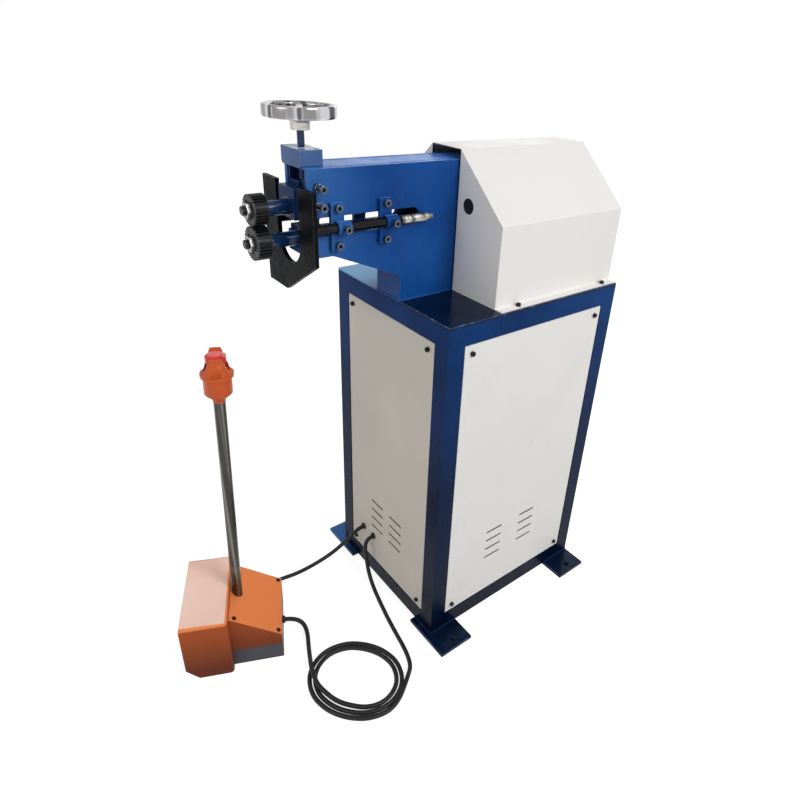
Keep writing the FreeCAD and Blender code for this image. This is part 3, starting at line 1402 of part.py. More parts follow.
def treadle_spring():
    """Compression spring between the tray floor and the treadle."""
    lean = treadle_rise / (treadle_hinge_v - treadle_front)
    underside = treadle_hinge_z + 3.0 + (treadle_hinge_v - spring_v - spring_radius) * lean * 0.7
    height = underside - pedal_floor - 2.0 * spring_wire_radius - 1.2
    helix = Part.makeHelix(height / spring_turns, height, spring_radius)
    start = Vector(spring_radius, 0, 0)
    circle = Part.Wire(Part.makeCircle(spring_wire_radius, start, Vector(0, 1, height / spring_turns / 50.0)))
    wire = Part.Wire(helix).makePipeShell([circle], True, True)
    return placed(wire, Placement(Vector(0, spring_v, pedal_floor + spring_wire_radius + 0.2), Rotation()))


def pedal_gland_ways():
    """Holes for the two cables in the foot switch: one behind, one on its far side."""
    ways = [rod(cable_radius + grommet_gap, (pedal_gland_u, pedal_length - 8, pedal_gland_z),
                (pedal_gland_u, pedal_length + 8, pedal_gland_z))]
    b = pedal_box_half_width
    ways.append(rod(cable_radius + grommet_gap, (-b - 8, stop_gland_v, stop_gland_z),
                    (-b + 8, stop_gland_v, stop_gland_z)))
    return Part.makeCompound(ways)


def pedal_glands():
    way = pedal_gland_ways()
    b = pedal_box_half_width
    rear = rod(grommet_radius, (pedal_gland_u, pedal_length, pedal_gland_z),
               (pedal_gland_u, pedal_length + gland_length, pedal_gland_z))
    side = rod(grommet_radius, (-b, stop_gland_v, stop_gland_z), (-b - gland_length, stop_gland_v, stop_gland_z))
    return [in_pedal(rear.cut(way)), in_pedal(side.cut(way))]


def foot_switch():
    write("pedal_base", in_pedal(pedal_base()))
    write("pedal_hood", in_pedal(pedal_hood()))
    write("pedal_lid", in_pedal(pedal_lid()))
    write("treadle", in_pedal(treadle()))
    write("treadle_spring", in_pedal(treadle_spring()))
    pin_end = treadle_half_width + treadle_ear_inset + treadle_ear_thickness
    write("treadle_pin", in_pedal(rod(treadle_pin_radius, (-pin_end, treadle_hinge_v, treadle_hinge_z),
                                      (pin_end, treadle_hinge_v, treadle_hinge_z))))
    wide, deep, tall = switch_size
    write("pedal_switch", in_pedal(box(switch_u - wide / 2, switch_u + wide / 2, switch_v - deep / 2,
                                       switch_v + deep / 2, pedal_floor, pedal_floor + tall)))
    tube = pole_bar(pole_radius, pedal_floor, pole_top).cut(pole_bar(pole_radius - pole_wall, 0, pole_top + 1))
    write("pole", in_pedal(tube))
    write("stop_cup", on_pole(stop_cup()))
    write("stop_stem", on_pole(rod(stop_stem_radius, (0, 0, stop_stem_bottom), (0, 0, stop_skirt_bottom - seat_gap))))
    write("stop_button", on_pole(stop_button()))


def rounded_route(points):
    """Straight runs through the points, joined by tangent arcs as large as each pair of runs allows."""
    edges = []
    radii = []
    last = points[0]
    for before, corner, after in zip(points, points[1:], points[2:]):
        into = corner - before
        out = after - corner
        turn = into.getAngle(out)
        radius = 0.45 * min(into.Length, out.Length) / math.tan(turn / 2.0)
        cut = radius * math.tan(turn / 2.0)
        start = corner - Vector(into).normalize() * cut
        end = corner + Vector(out).normalize() * cut
        bisector = (start + end) * 0.5 - corner
        reach = radius / math.cos(turn / 2.0)
        middle = corner + Vector(bisector).normalize() * (reach - radius)
        edges.append(Part.LineSegment(last, start).toShape())
        edges.append(Part.Arc(start, middle, end).toShape())
        last = end
        radii.append(round(radius))
    edges.append(Part.LineSegment(last, points[-1]).toShape())
    print("bend radii", radii)
    return Part.Wire(edges)


def tube_along(wire, heading):
    start = wire.OrderedVertexes[0].Point
    section = Part.Wire(Part.makeCircle(cable_radius, start, heading))
    return wire.makePipeShell([section], True, False)


def loop_point(angle):
    """Point and heading of the loose loops at an angle in degrees; the loops run clockwise inward."""
    turned = math.radians(angle)
    done = (loop_start_angle - angle) / 360.0
    oval = loop_oval * math.cos(2.0 * (turned - math.radians(loop_oval_angle)))
    radius = loop_radius - loop_pitch * done + oval
    step = math.radians(0.01)
    later = turned - step
    later_oval = loop_oval * math.cos(2.0 * (later - math.radians(loop_oval_angle)))
    later_radius = loop_radius - loop_pitch * (done + 0.01 / 360.0) + later_oval
    z = cable_radius + cable_ground_gap
    here = Vector(loop_centre_x + radius * math.cos(turned), loop_centre_y + radius * math.sin(turned), z)
    there = Vector(loop_centre_x + later_radius * math.cos(later),
                   loop_centre_y + later_radius * math.sin(later), z)
    return here, (there - here).normalize()


def arc_from(start, heading, end):
    """Arc that leaves start along heading and reaches end."""
    chord = end - start
    across = chord - heading * chord.dot(heading)
    radius = chord.dot(chord) / (2.0 * across.Length)
    centre = start + Vector(across).normalize() * radius
    middle = centre + ((start + end) * 0.5 - centre).normalize() * radius
    return Part.Arc(start, middle, end).toShape()


def biarc(start, start_heading, end, end_heading):
    """Two tangent arcs between two points with given headings."""
    chord = end - start
    sum_heading = start_heading + end_heading
    spread = 2.0 * (1.0 - start_heading.dot(end_heading))
    along = chord.dot(sum_heading)
    reach = (math.sqrt(along * along + spread * chord.dot(chord)) - along) / spread
    joint = (start + end + (start_heading - end_heading) * reach) * 0.5
    first = arc_from(start, start_heading, joint)
    second = arc_from(end, end_heading * -1.0, joint)
    return [first, second]


def cable_loops():
    """The loose turns as one unbroken tube, each span two tangent arcs."""
    stops = [loop_point(loop_start_angle - 90.0 * k) for k in range(loop_spans + 1)]
    edges = []
    for (start, start_heading), (end, end_heading) in zip(stops, stops[1:]):
        edges += biarc(start, start_heading, end, end_heading)
    wire = Part.Wire(Part.__sortEdges__(edges))
    return wire, tube_along(wire, stops[0][1])


def loop_gap():
    """Smallest gap between neighbouring turns, measured on points a few degrees apart."""
    step = 3.0
    count = int(90.0 * loop_spans / step)
    points = [loop_point(loop_start_angle - step * k)[0] for k in range(count + 1)]
    apart = int(270.0 / step)
    gaps = [points[i].distanceToPoint(points[j]) for i in range(count + 1) for j in range(i + apart, count + 1)]
    return min(gaps) - cable_diameter


def cables():
    """The two cables of the foot switch, from the cabinet front over the floor to the pedal."""
    inside = front_y + panel_recess + panel_thickness + 2.0
    lead = cable_radius + cable_ground_gap
    loop_start, start_heading = loop_point(loop_start_angle)
    loop_end, end_heading = loop_point(loop_start_angle - 90.0 * loop_spans)
    stop_end = pedal_point(-pedal_box_half_width + 3.0, stop_gland_v, stop_gland_z)
    stop_out = pedal_point(-pedal_box_half_width - 26.0, stop_gland_v, stop_gland_z)
    stop_route = [Vector(stop_cable_exit_x, inside, cable_exit_z), Vector(stop_cable_exit_x, -252, cable_exit_z),
                  Vector(-104, -281, 99), Vector(-117, -318, 65), Vector(-133, -360, 38), Vector(-148, -405, 19),
                  Vector(-162, -449, 13), stop_out, stop_end]
    drop_route = [Vector(pedal_cable_exit_x, inside, cable_exit_z), Vector(pedal_cable_exit_x, -245, cable_exit_z),
                  Vector(-53, -257, 114), Vector(-51, -259, 91), Vector(-45, -258, 60), Vector(-32, -260, 29),
                  Vector(0, -266, 8),
                  Vector(48, -277, lead), Vector(97, -288, lead), Vector(146, -297, lead),
                  Vector(195, -305, lead), Vector(232, -317, lead), loop_start - start_heading * 26.0, loop_start]
    tail_end = pedal_point(pedal_gland_u, pedal_length - 3.0, pedal_gland_z)
    tail_out = pedal_point(pedal_gland_u, pedal_length + 22.0, pedal_gland_z)
    tail_route = [loop_end, loop_end + end_heading * 14.0, Vector(206, -496, 8), Vector(182, -507, 17),
                  Vector(156, -512, 20), Vector(116, -503, 20), Vector(84, -490, 10), Vector(52, -477, 6),
                  Vector(24, -464, 9), Vector(1, -462, 22), tail_out, tail_end]
    routes = {"stop_cable": stop_route, "pedal_cable_drop": drop_route, "pedal_cable_tail": tail_route}
    for name, points in routes.items():
        wire = rounded_route(points)
        tube = tube_along(wire, points[1] - points[0])
        expected = math.pi * cable_radius ** 2 * wire.Length
        print(name, "length", round(wire.Length), "volume/section", round(tube.Volume / expected, 4))
        write(name, tube)
    wire, tube = cable_loops()
    expected = math.pi * cable_radius ** 2 * wire.Length
    print("pedal_cable_loops length", round(wire.Length), "volume/section", round(tube.Volume / expected, 4))
    print("least gap between the turns", round(loop_gap(), 2))
    write("pedal_cable_loops", tube)


os.makedirs("parts", exist_ok=True)
cabinet()
arm()
slide()
handwheel_and_screw()
shafts()
rear_bearings()
coupling()
reducer()
motor()
write("control_box", *control_box())
write("hood", hood())
gauge()
write("socket_screws", *socket_screws())
write("cover_screws", *(cover_screws() + pedal_lid_screws()))
write("cable_glands", *(cable_glands() + pedal_glands()))
foot_switch()
cables()
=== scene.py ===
import json
from math import acos, atan, atan2, cos, pi, radians, sin, sqrt, tan, tau

import bmesh
import bpy
from mathutils import Matrix, Vector

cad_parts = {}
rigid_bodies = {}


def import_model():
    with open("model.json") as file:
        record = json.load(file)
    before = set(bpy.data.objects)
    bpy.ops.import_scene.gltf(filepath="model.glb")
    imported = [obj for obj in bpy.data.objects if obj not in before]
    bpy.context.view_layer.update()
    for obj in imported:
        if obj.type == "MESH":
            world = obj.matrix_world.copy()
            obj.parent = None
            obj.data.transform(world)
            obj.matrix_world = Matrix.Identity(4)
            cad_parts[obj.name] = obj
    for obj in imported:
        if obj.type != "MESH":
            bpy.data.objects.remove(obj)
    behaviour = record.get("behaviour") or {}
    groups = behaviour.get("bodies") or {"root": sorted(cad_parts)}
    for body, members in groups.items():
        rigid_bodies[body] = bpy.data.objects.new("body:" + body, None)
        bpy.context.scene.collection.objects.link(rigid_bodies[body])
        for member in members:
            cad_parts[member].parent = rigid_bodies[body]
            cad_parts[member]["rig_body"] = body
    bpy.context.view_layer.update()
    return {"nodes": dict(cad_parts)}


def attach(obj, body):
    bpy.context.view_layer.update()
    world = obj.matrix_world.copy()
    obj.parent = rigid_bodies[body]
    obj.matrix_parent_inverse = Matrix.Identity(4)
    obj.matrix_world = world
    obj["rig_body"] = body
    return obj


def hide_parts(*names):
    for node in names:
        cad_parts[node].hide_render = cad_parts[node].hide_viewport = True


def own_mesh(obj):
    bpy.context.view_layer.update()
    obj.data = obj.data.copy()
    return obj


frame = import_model()

# Pieces are built in millimetres, in the part's own frame, and scaled to metres at the end.
MM = 0.001

# Sizes of the machine, as in the part's source
front_y = -232.5
rear_y = 247.5
middle_y = 7.5
half_width = 195
cabinet_height = 800
foot_thickness = 8
foot_length = 125
foot_width = 90
foot_outer_x = 258
foot_outer_y = 247.5
bolt_x = 238
bolt_radius = 7
post_inner = 155
side_panel_half = 200
sill_top = 48
rail_bottom = 755
panel_recess = 1
panel_thickness = 2
panel_gap = 1.5
arm_half_width = 40
arm_inner = 30
arm_front = -416.5
arm_rear = -62.5
arm_top = 1058
arm_bottom = 911
arm_kink_y = -373.5
pedestal_top = 852
throat_bottom = 947
throat_top = 979
throat_end = -190.5
slide_y = -404
gib_screw_y = -400
gib_screw_heights = (999.5, 1029.5)
lower_axis_z = 940
upper_axis_z = 994
roller_face = -500.5
hood_front = -102.5
hood_half_width = 172
hood_top_half_width = 42
hood_top = 1077
hood_shoulder = 960
hood_wall = 1.5
hood_hole = (74, 977)
hood_hole_radius = 15
gauge_face = -435
gauge_back = -427
gauge_thickness = gauge_back - gauge_face
rod_x = 54
rod_z = 963
rod_end = -243.4
clamp_rows = (-368, -271.2)
clamp_face = 48
clamp_groove = 8.15
clamp_ring_shift = 6
clamp_screw_rise = 32
screw_hole_radius = 4.1
cable_diameter = 10
cable_bore = cable_diameter / 2 + 0.2
cable_holes_x = (-99, -54)
cable_hole_z = 126
mains_x = 100
# The axis of a cable that lies on the floor
lying_z = 5.5
# Radius and height of the heads of cap screws
m8_head = (6.5, 8)
m6_head = (5, 6)
cover_head = (5, 5.5)

# Foot switch: its own axes, across and from the mouth toward the rear
pedal_origin = Vector((-119.6, -680.2, 0))
pedal_turn = radians(-24.8)
lid_top = 137.2
lid_bottom = 67.6
lid_start = 96
lid_run = 106


def pedal_point(u, v, z):
    across = Vector((cos(pedal_turn), sin(pedal_turn), 0))
    back = Vector((-sin(pedal_turn), cos(pedal_turn), 0))
    return pedal_origin + across * u + back * v + Vector((0, 0, z))


def add_object(name, data):
    made = bpy.data.objects.new(name, data)
    bpy.context.scene.collection.objects.link(made)
    return made


# Camera, at the photograph's angle
def add_camera():
    azimuth = radians(48.93)
    elevation = radians(27.74)
    roll = radians(3.87)
    eye = (0.94865, -0.87836, 1.23941)
    picture = 800
    focal_length = 610.04
    centre = (451.69, 370.37)
    sensor = 36
    data = bpy.data.cameras.new("camera")
    data.lens = focal_length / picture * sensor
    data.shift_x = 0.5 - centre[0] / picture
    data.shift_y = centre[1] / picture - 0.5
    data.clip_end = 30
    camera = add_object("camera", data)
    turn = Matrix.Rotation(azimuth, 4, "Z") @ Matrix.Rotation(pi / 2 - elevation, 4, "X")
    camera.matrix_world = Matrix.Translation(eye) @ turn @ Matrix.Rotation(roll, 4, "Z")
    bpy.context.scene.camera = camera


add_camera()


# Cords: one smooth spline each, along the same route as its solid. The points carry the cable's radius,
# with a bevel of 1, because Blender's box of a curve stands off its points by their radius
def cord_curve(name, route):
    data = bpy.data.curves.new(name, "CURVE")
    data.dimensions = "3D"
    data.bevel_depth = 1
    data.bevel_resolution = 6
    data.resolution_u = 10
    data.use_fill_caps = True
    spline = data.splines.new("NURBS")
    spline.points.add(len(route) - 1)
    for point, place in zip(spline.points, route):
        point.co = (place[0] * MM, place[1] * MM, place[2] * MM, 1)
        point.radius = cable_diameter / 2 * MM
    spline.order_u = 3
    spline.use_endpoint_u = True
    cord = add_object(name, data)
    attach(cord, "machine")
    return cord


def loop_place(angle, widen=1):
    """A point of the loose turns at an angle in degrees; they run clockwise and inward."""
    centre = Vector((188.5, -430, lying_z))
    outer_radius = 102
    inward_per_turn = 12
    turned = radians(angle)
    oval = 10 * cos(2 * (turned - radians(37)))
    radius = (outer_radius - inward_per_turn * (loop_start - angle) / 360 + oval) * widen
    return centre + Vector((radius * cos(turned), radius * sin(turned), 0))


loop_start = 45
loop_turn = 810
loop_end = loop_start - loop_turn
loop_step = 30
cord_start_y = front_y + panel_recess + panel_thickness + 2
stop_route = [
    (cable_holes_x[0], cord_start_y, cable_hole_z), (-99, -252, 126), (-104, -281, 99), (-117, -318, 65),
    (-133, -360, 38), (-148, -405, 19), (-162, -449, 13), pedal_point(-108, 172, 28), pedal_point(-79, 172, 28)]
stop_cord = cord_curve("stop_cord", stop_route)
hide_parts("stop_cable")

# A spline runs inside its control points, so the turns' points stand out by what it cuts off
loop_widen = 1 / (0.75 + 0.25 * cos(radians(loop_step)))
into_loop = (loop_place(loop_start - 0.1) - loop_place(loop_start + 0.1)).normalized()
out_of_loop = (loop_place(loop_end - 0.1) - loop_place(loop_end + 0.1)).normalized()
pedal_route = [
    (cable_holes_x[1], cord_start_y, cable_hole_z), (-54, -245, 126), (-53, -257, 114), (-51, -259, 91),
    (-45, -258, 60), (-32, -260, 29), (0, -266, 8), (48, -277, lying_z), (97, -288, lying_z),
    (146, -297, lying_z), (195, -305, lying_z), (232, -317, lying_z), loop_place(loop_start) - into_loop * 26]
for k in range(1, int(loop_turn / loop_step)):
    pedal_route.append(loop_place(loop_start - loop_step * k, loop_widen))
pedal_route += [
    loop_place(loop_end) + out_of_loop * 8, (206, -496, 8), (182, -507, 17), (156, -512, 20), (116, -503, 20),
    (84, -490, 10), (52, -477, 6), (24, -464, 9), (1, -462, 22), pedal_point(9, 224, 33), pedal_point(9, 199, 33)]
pedal_cord = cord_curve("pedal_cord", pedal_route)
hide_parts("pedal_cable_drop", "pedal_cable_loops", "pedal_cable_tail")


# Finishes
def srgb(*colour):
    """A colour as it looks on a screen, turned into the shader's linear values."""
    values = []
    for c in [part / 255 for part in colour]:
        values.append(c / 12.92 if c <= 0.04045 else ((c + 0.055) / 1.055) ** 2.4)
    return (*values, 1)


def add_node(tree, kind, inputs=None, **settings):
    """A shader node with its settings; an input gets another node's output, or a value of its own."""
    node = tree.nodes.new("ShaderNode" + kind)
    for key, value in settings.items():
        setattr(node, key, value)
    for key, value in (inputs or {}).items():
        if isinstance(value, bpy.types.NodeSocket):
            tree.links.new(value, node.inputs[key])
        else:
            node.inputs[key].default_value = value
    return node


def node_tree(owner):
    owner.use_nodes = True
    return owner.node_tree


def node_math(tree, operation, first, second):
    """A math node; each operand is a socket or a number."""
    return add_node(tree, "Math", {0: first, 1: second}, operation=operation).outputs[0]


def part_along(tree, vector, axis):
    return add_node(tree, "SeparateXYZ", {0: vector}).outputs[axis]


class Finish:
    """One procedural material, built up in layers from noise in the object's own coordinates."""

    def __init__(self, name, colour, roughness, metallic=0, coat=0, specular=0.5):
        self.material = bpy.data.materials.new(name)
        self.tree = node_tree(self.material)
        self.shader = self.tree.nodes["Principled BSDF"]
        self.roughness = roughness
        plain = {"Metallic": metallic, "Coat Weight": coat, "Coat Roughness": 0.12,
                 "Specular IOR Level": specular, "Roughness": roughness, "Base Color": srgb(*colour)}
        for key, value in plain.items():
            self.shader.inputs[key].default_value = value

    def object_place(self):
        return add_node(self.tree, "TexCoord").outputs["Object"]

    def noise(self, scale, detail=3, stretch=(1, 1, 1)):
        mapping = add_node(self.tree, "Mapping", {"Scale": stretch, "Vector": self.object_place()})
        inputs = {"Scale": scale, "Detail": detail, "Vector": mapping.outputs["Vector"]}
        return add_node(self.tree, "TexNoise", inputs).outputs[0]

    def upward(self, low, high):
        """1 where the surface faces up, 0 elsewhere."""
        normal = add_node(self.tree, "NewGeometry").outputs["Normal"]
        return self.mapped(part_along(self.tree, normal, 2), low, high)

    def mapped(self, value, low, high, to_low=0, to_high=1):
        inputs = {"Value": value, "From Min": low, "From Max": high, "To Min": to_low, "To Max": to_high}
        return add_node(self.tree, "MapRange", inputs).outputs["Result"]

    def product(self, first, second):
        return node_math(self.tree, "MULTIPLY", first, second)

    def tint(self, colour, mask):
        """Mix another colour in where the mask is 1."""
        base = self.shader.inputs["Base Color"]
        under = base.links[0].from_socket if base.is_linked else tuple(base.default_value)
        inputs = {0: mask, 6: under, 7: srgb(*colour)}
        self.tree.links.new(add_node(self.tree, "Mix", inputs, data_type="RGBA").outputs[2], base)

    def patches(self, colour, scale, detail, low, high, share, stretch=(1, 1, 1)):
        """Tint where the noise passes low, growing to the given share at high."""
        self.tint(colour, self.mapped(self.noise(scale, detail, stretch), low, high, 0, share))

    def rub_and_highlight_edges(self, colour, scale, detail, low, high, least, most):
        """Tint the worn edges, by least to most as the noise goes from low to high; a pale tint there is also a
        painted highlight.
        """
        edges = add_node(self.tree, "Attribute", attribute_name="edge_wear").outputs["Fac"]
        self.tint(colour, self.product(edges, self.mapped(self.noise(scale, detail), low, high, least, most)))

    def fade(self, light_ramps):
        """Painted light and shade along an axis. Each ramp: a colour, an axis, the two places in metres between
        which it grows from 0, its share.
        """
        for tone, axis, start, end, share in light_ramps:
            place = part_along(self.tree, self.object_place(), axis)
            self.tint(tone, self.mapped(place, start, end, 0, share))

    def vary_roughness(self, scale, detail, spread, stretch=(1, 1, 1)):
        low = max(0.02, self.roughness - spread)
        high = min(1, self.roughness + spread)
        value = self.mapped(self.noise(scale, detail, stretch), 0.3, 0.7, low, high)
        self.tree.links.new(value, self.shader.inputs["Roughness"])

    def bump(self, scale, detail, distance, strength, stretch=(1, 1, 1)):
        """Relief on top of what is there: its noise's scale and detail, its height in millimetres."""
        normal = self.shader.inputs["Normal"]
        height = self.noise(scale, detail, stretch)
        inputs = {"Distance": distance * MM, "Strength": strength, "Height": height}
        if normal.is_linked:
            inputs["Normal"] = normal.links[0].from_socket
        self.tree.links.new(add_node(self.tree, "Bump", inputs).outputs["Normal"], normal)


def enamel(name, colour, dark, pale, roughness=0.3, gloss=0.1, edge=(112, 142, 184), top=None, light_ramps=()):
    """Sprayed gloss enamel on steel: uneven coat, orange peel, dust specks, and rubbed edges that are also a
    painted highlight.

    top is the paler colour of upward faces: a painted sky reflection, which on a top rubbed bare also stands for
    wear.
    """
    f = Finish(name, colour, roughness, specular=gloss)
    f.patches(dark, 7, 4, 0.42, 0.72, 0.6)
    f.patches(pale, 23, 5, 0.6, 0.85, 0.25, (1, 1, 0.35))
    specks = f.mapped(f.noise(700, 2), 0.7, 0.75)
    f.tint(pale, f.product(specks, f.mapped(f.noise(14), 0.5, 0.7, 0, 0.6)))
    f.fade(light_ramps)
    # Painted sky reflection on upward faces, and wear where a top is rubbed bare.
    if top:
        f.tint(top, f.product(f.upward(0.9, 0.99), f.mapped(f.noise(40, 5), 0.3, 0.6, 0.45, 0.9)))
    f.rub_and_highlight_edges(edge, 70, 5, 0.5, 0.75, 0.1, 0.75)
    f.vary_roughness(30, 4, 0.08)
    f.bump(420, 2, 0.015, 0.5)
    f.bump(24, 2, 0.2, 0.08)
    return f.material


def powder_coat(name, colour, shade, roughness=0.5):
    """Textured powder coat on sheet steel, with faint smudges and rubbed edges."""
    f = Finish(name, colour, roughness, specular=0.3)
    f.patches(shade, 5, 5, 0.45, 0.8, 0.35)
    f.patches((204, 199, 190), 38, 6, 0.68, 0.82, 0.25, (1, 1, 0.4))
    f.rub_and_highlight_edges((176, 172, 164), 120, 3, 0.4, 0.6, 0.2, 0.8)
    f.vary_roughness(18, 3, 0.07)
    f.bump(1300, 2, 0.03, 0.5)
    f.bump(9, 1, 0.4, 0.1)
    return f.material


def machined(name, colour, dark, roughness, stretch, metallic=0.95, share=0.6):
    """Cut or drawn metal: fine lines along one direction, oily patches, and rubbed bright edges that are also a
    painted highlight.
    """
    f = Finish(name, colour, roughness, metallic=metallic)
    f.patches(dark, 60, 5, 0.45, 0.65, share, stretch)
    f.patches(dark, 26, 4, 0.55, 0.8, share)
    f.rub_and_highlight_edges((232, 234, 238), 150, 3, 0.35, 0.6, 0.2, 0.8)
    f.vary_roughness(90, 3, 0.08, stretch)
    f.bump(500, 2, 0.01, 0.4, stretch)
    return f.material


def mirror_banded(name, colour, grey, dark):
    """Polished rim that shows the room round it as upright light and dark bands."""
    f = Finish(name, colour, 0.14, metallic=1)
    f.patches(grey, 34, 1, 0.44, 0.5, 0.9, (1, 1, 0.05))
    f.patches(dark, 52, 1, 0.55, 0.62, 0.85, (1, 1, 0.05))
    f.vary_roughness(120, 2, 0.05, (1, 1, 20))
    f.bump(900, 1, 0.003, 0.3, (1, 1, 6))
    return f.material


def blackened(name, colour, worn, roughness=0.42, edge=(120, 122, 126), metallic=0.35, gloss=0.35):
    """Black-oxide steel: near-black, oily, rubbed pale along edges, which is also a painted highlight there."""
    f = Finish(name, colour, roughness, metallic=metallic, specular=gloss)
    f.patches(worn, 45, 5, 0.55, 0.78, 0.45)
    f.rub_and_highlight_edges(edge, 200, 3, 0.35, 0.6, 0.1, 0.9)
    f.vary_roughness(70, 4, 0.12)
    f.bump(700, 3, 0.02, 0.5)
    return f.material


def moulded(name, colour, shade, roughness, grain=900, coat=0, gloss=0.25, top_highlight=None, slope=None,
            light_ramps=()):
    """Moulded or cast and lacquered surface with a fine grain and faint scuffs.

    If asked, sloping faces take a colour of their own and level ones a pale top, both painted light from above.
    """
    f = Finish(name, colour, roughness, coat=coat, specular=gloss)
    f.patches(shade, 11, 4, 0.45, 0.78, 0.5)
    f.patches(shade, 140, 5, 0.66, 0.76, 0.4, (1, 0.25, 1))
    f.fade(light_ramps)
    # Painted light: sloping faces take the slope colour, and level tops turn pale as a painted highlight.
    if slope:
        f.tint(slope, f.upward(0.35, 0.75))
    if top_highlight:
        f.tint(top_highlight, f.product(f.upward(0.93, 0.99), f.mapped(f.noise(6, 3), 0.2, 0.7, 0.7, 1)))
    f.vary_roughness(24, 4, 0.1)
    f.bump(grain, 2, 0.03, 0.5)
    f.bump(16, 1, 0.4, 0.1)
    return f.material


# The arm: top paints a sky reflection on its upward faces; the ramps paint a highlight toward the front and shade
# toward the rear.
blue = enamel(
    "blue_enamel", (22, 80, 154), (8, 48, 110), (64, 122, 190), top=(92, 142, 224),
    light_ramps=[((64, 118, 184), 1, -0.30, -0.42, 0.7), ((24, 52, 98), 1, -0.16, -0.04, 0.6)])
# The frame: its ramps paint shade that darkens the blue toward the floor.
frame_blue = enamel(
    "frame_blue_enamel", (18, 62, 122), (6, 28, 64), (44, 92, 150), gloss=0.04, edge=(84, 124, 180),
    light_ramps=[((6, 24, 50), 2, 0.78, 0.42, 0.85), ((2, 10, 26), 2, 0.42, 0, 0.8)])
# The feet: darker than the frame's blue as painted shade; the ramp paints a highlight on the left feet, growing
# toward their outer ends.
foot_blue = enamel(
    "foot_blue_enamel", (6, 24, 52), (2, 10, 28), (74, 110, 160), edge=(96, 140, 200),
    light_ramps=[((74, 132, 208), 0, -0.13, -0.21, 0.6)])
# The top plate: a dark copy of the blue as painted shade; its ramp paints a sky reflection that grows toward the
# left side.
top_plate_blue = enamel(
    "top_plate_shaded_enamel", (8, 28, 58), (2, 14, 34), (34, 72, 128), roughness=0.2, edge=(150, 186, 232),
    light_ramps=[((138, 204, 255), 0, -0.02, -0.10, 0.95)])
block_blue = enamel(
    "block_blue_enamel", (84, 114, 164), (36, 64, 112), (150, 176, 210), top=(200, 208, 220))
slide_blue = enamel("slide_blue_enamel", (16, 46, 92), (4, 18, 48), (60, 96, 146), gloss=0.06)
shaft_blue = enamel(
    "shaft_blue_enamel", (16, 48, 94), (4, 18, 48), (90, 124, 166), roughness=0.16, gloss=0.4)
weld_paint = enamel(
    "weld_paint", (8, 28, 62), (4, 16, 40), (214, 222, 232), roughness=0.34, edge=(200, 210, 224))
white_sheet = powder_coat("white_sheet", (238, 236, 233), (225, 222, 218))
# front_sheet: white_sheet made darker for the front panel, as painted shade.
front_sheet = powder_coat("front_sheet", (222, 216, 206), (206, 199, 188))
steel = machined("turned_steel", (176, 179, 184), (112, 112, 114), 0.3, (1, 14, 1))
bright = mirror_banded("polished_alloy", (206, 206, 210), (134, 130, 130), (66, 62, 64))
hub_alloy = machined("hub_alloy", (206, 203, 196), (148, 146, 140), 0.38, (1, 1, 6), metallic=0.85)
oxide = blackened(
    "black_oxide", (16, 18, 21), (26, 28, 32), roughness=0.4, edge=(70, 73, 80), metallic=0, gloss=0.03)
tooth_black = blackened(
    "roller_black", (24, 25, 28), (48, 49, 52), roughness=0.34, edge=(150, 152, 156), gloss=0.2)
rod_black = blackened("rod_black", (12, 12, 15), (28, 28, 34), roughness=0.18, metallic=0.1, gloss=0.2)
screw_black = blackened(
    "screw_black", (16, 16, 19), (34, 35, 40), roughness=0.4, edge=(70, 72, 78), metallic=0.1, gloss=0.15)
screw_steel = blackened(
    "screw_steel", (70, 78, 94), (44, 50, 64), roughness=0.3, edge=(178, 188, 204), metallic=0.8)
thread_steel = machined(
    "thread_steel", (206, 204, 198), (52, 48, 46), 0.3, (1, 2, 1), metallic=0.9, share=0.85)
thread_dark = machined("thread_dark", (52, 51, 50), (20, 19, 19), 0.34, (1, 2, 1), metallic=0.6, share=0.8)
nut_zinc = machined("nut_zinc", (158, 158, 155), (104, 102, 98), 0.36, (6, 1, 6))
# The pedal: its base is the colour of upright faces in shade; the slope colour and the pale top paint light on
# sloping and level faces, and the ramp along z paints shade toward the floor.
orange = moulded(
    "orange_lacquer", (176, 84, 40), (150, 70, 32), 0.36, gloss=0.1, top_highlight=(255, 224, 210),
    slope=(246, 140, 80), light_ramps=[((92, 40, 16), 2, 0.13, 0.02, 0.9)])
orange_plastic = moulded("orange_plastic", (216, 96, 44), (190, 76, 32), 0.36)
# The button's pale top is a painted highlight.
red_plastic = moulded("red_plastic", (218, 52, 50), (184, 30, 28), 0.3, coat=0.2, top_highlight=(236, 96, 98))
base_grey = moulded("base_grey", (70, 71, 78), (50, 51, 58), 0.55)
black_plastic = moulded("black_plastic", (30, 30, 32), (20, 20, 22), 0.5)
cord_rubber = moulded("cord_rubber", (30, 30, 32), (16, 16, 18), 0.42, grain=1500)
spider_rubber = moulded("spider_rubber", (128, 30, 26), (96, 20, 18), 0.6)
cast_grey = moulded("cast_grey", (104, 112, 120), (80, 86, 92), 0.5, grain=500)
cast_alloy = machined("cast_alloy", (170, 172, 176), (128, 130, 134), 0.46, (1, 1, 1), metallic=0.75)
# The pole's dark base and light upright streaks are a painted reflection of the room round it.
pole_metal = machined(
    "pole_metal", (66, 64, 60), (140, 138, 130), 0.24, (2.2, 2.2, 0.02), metallic=0.95, share=0.7)


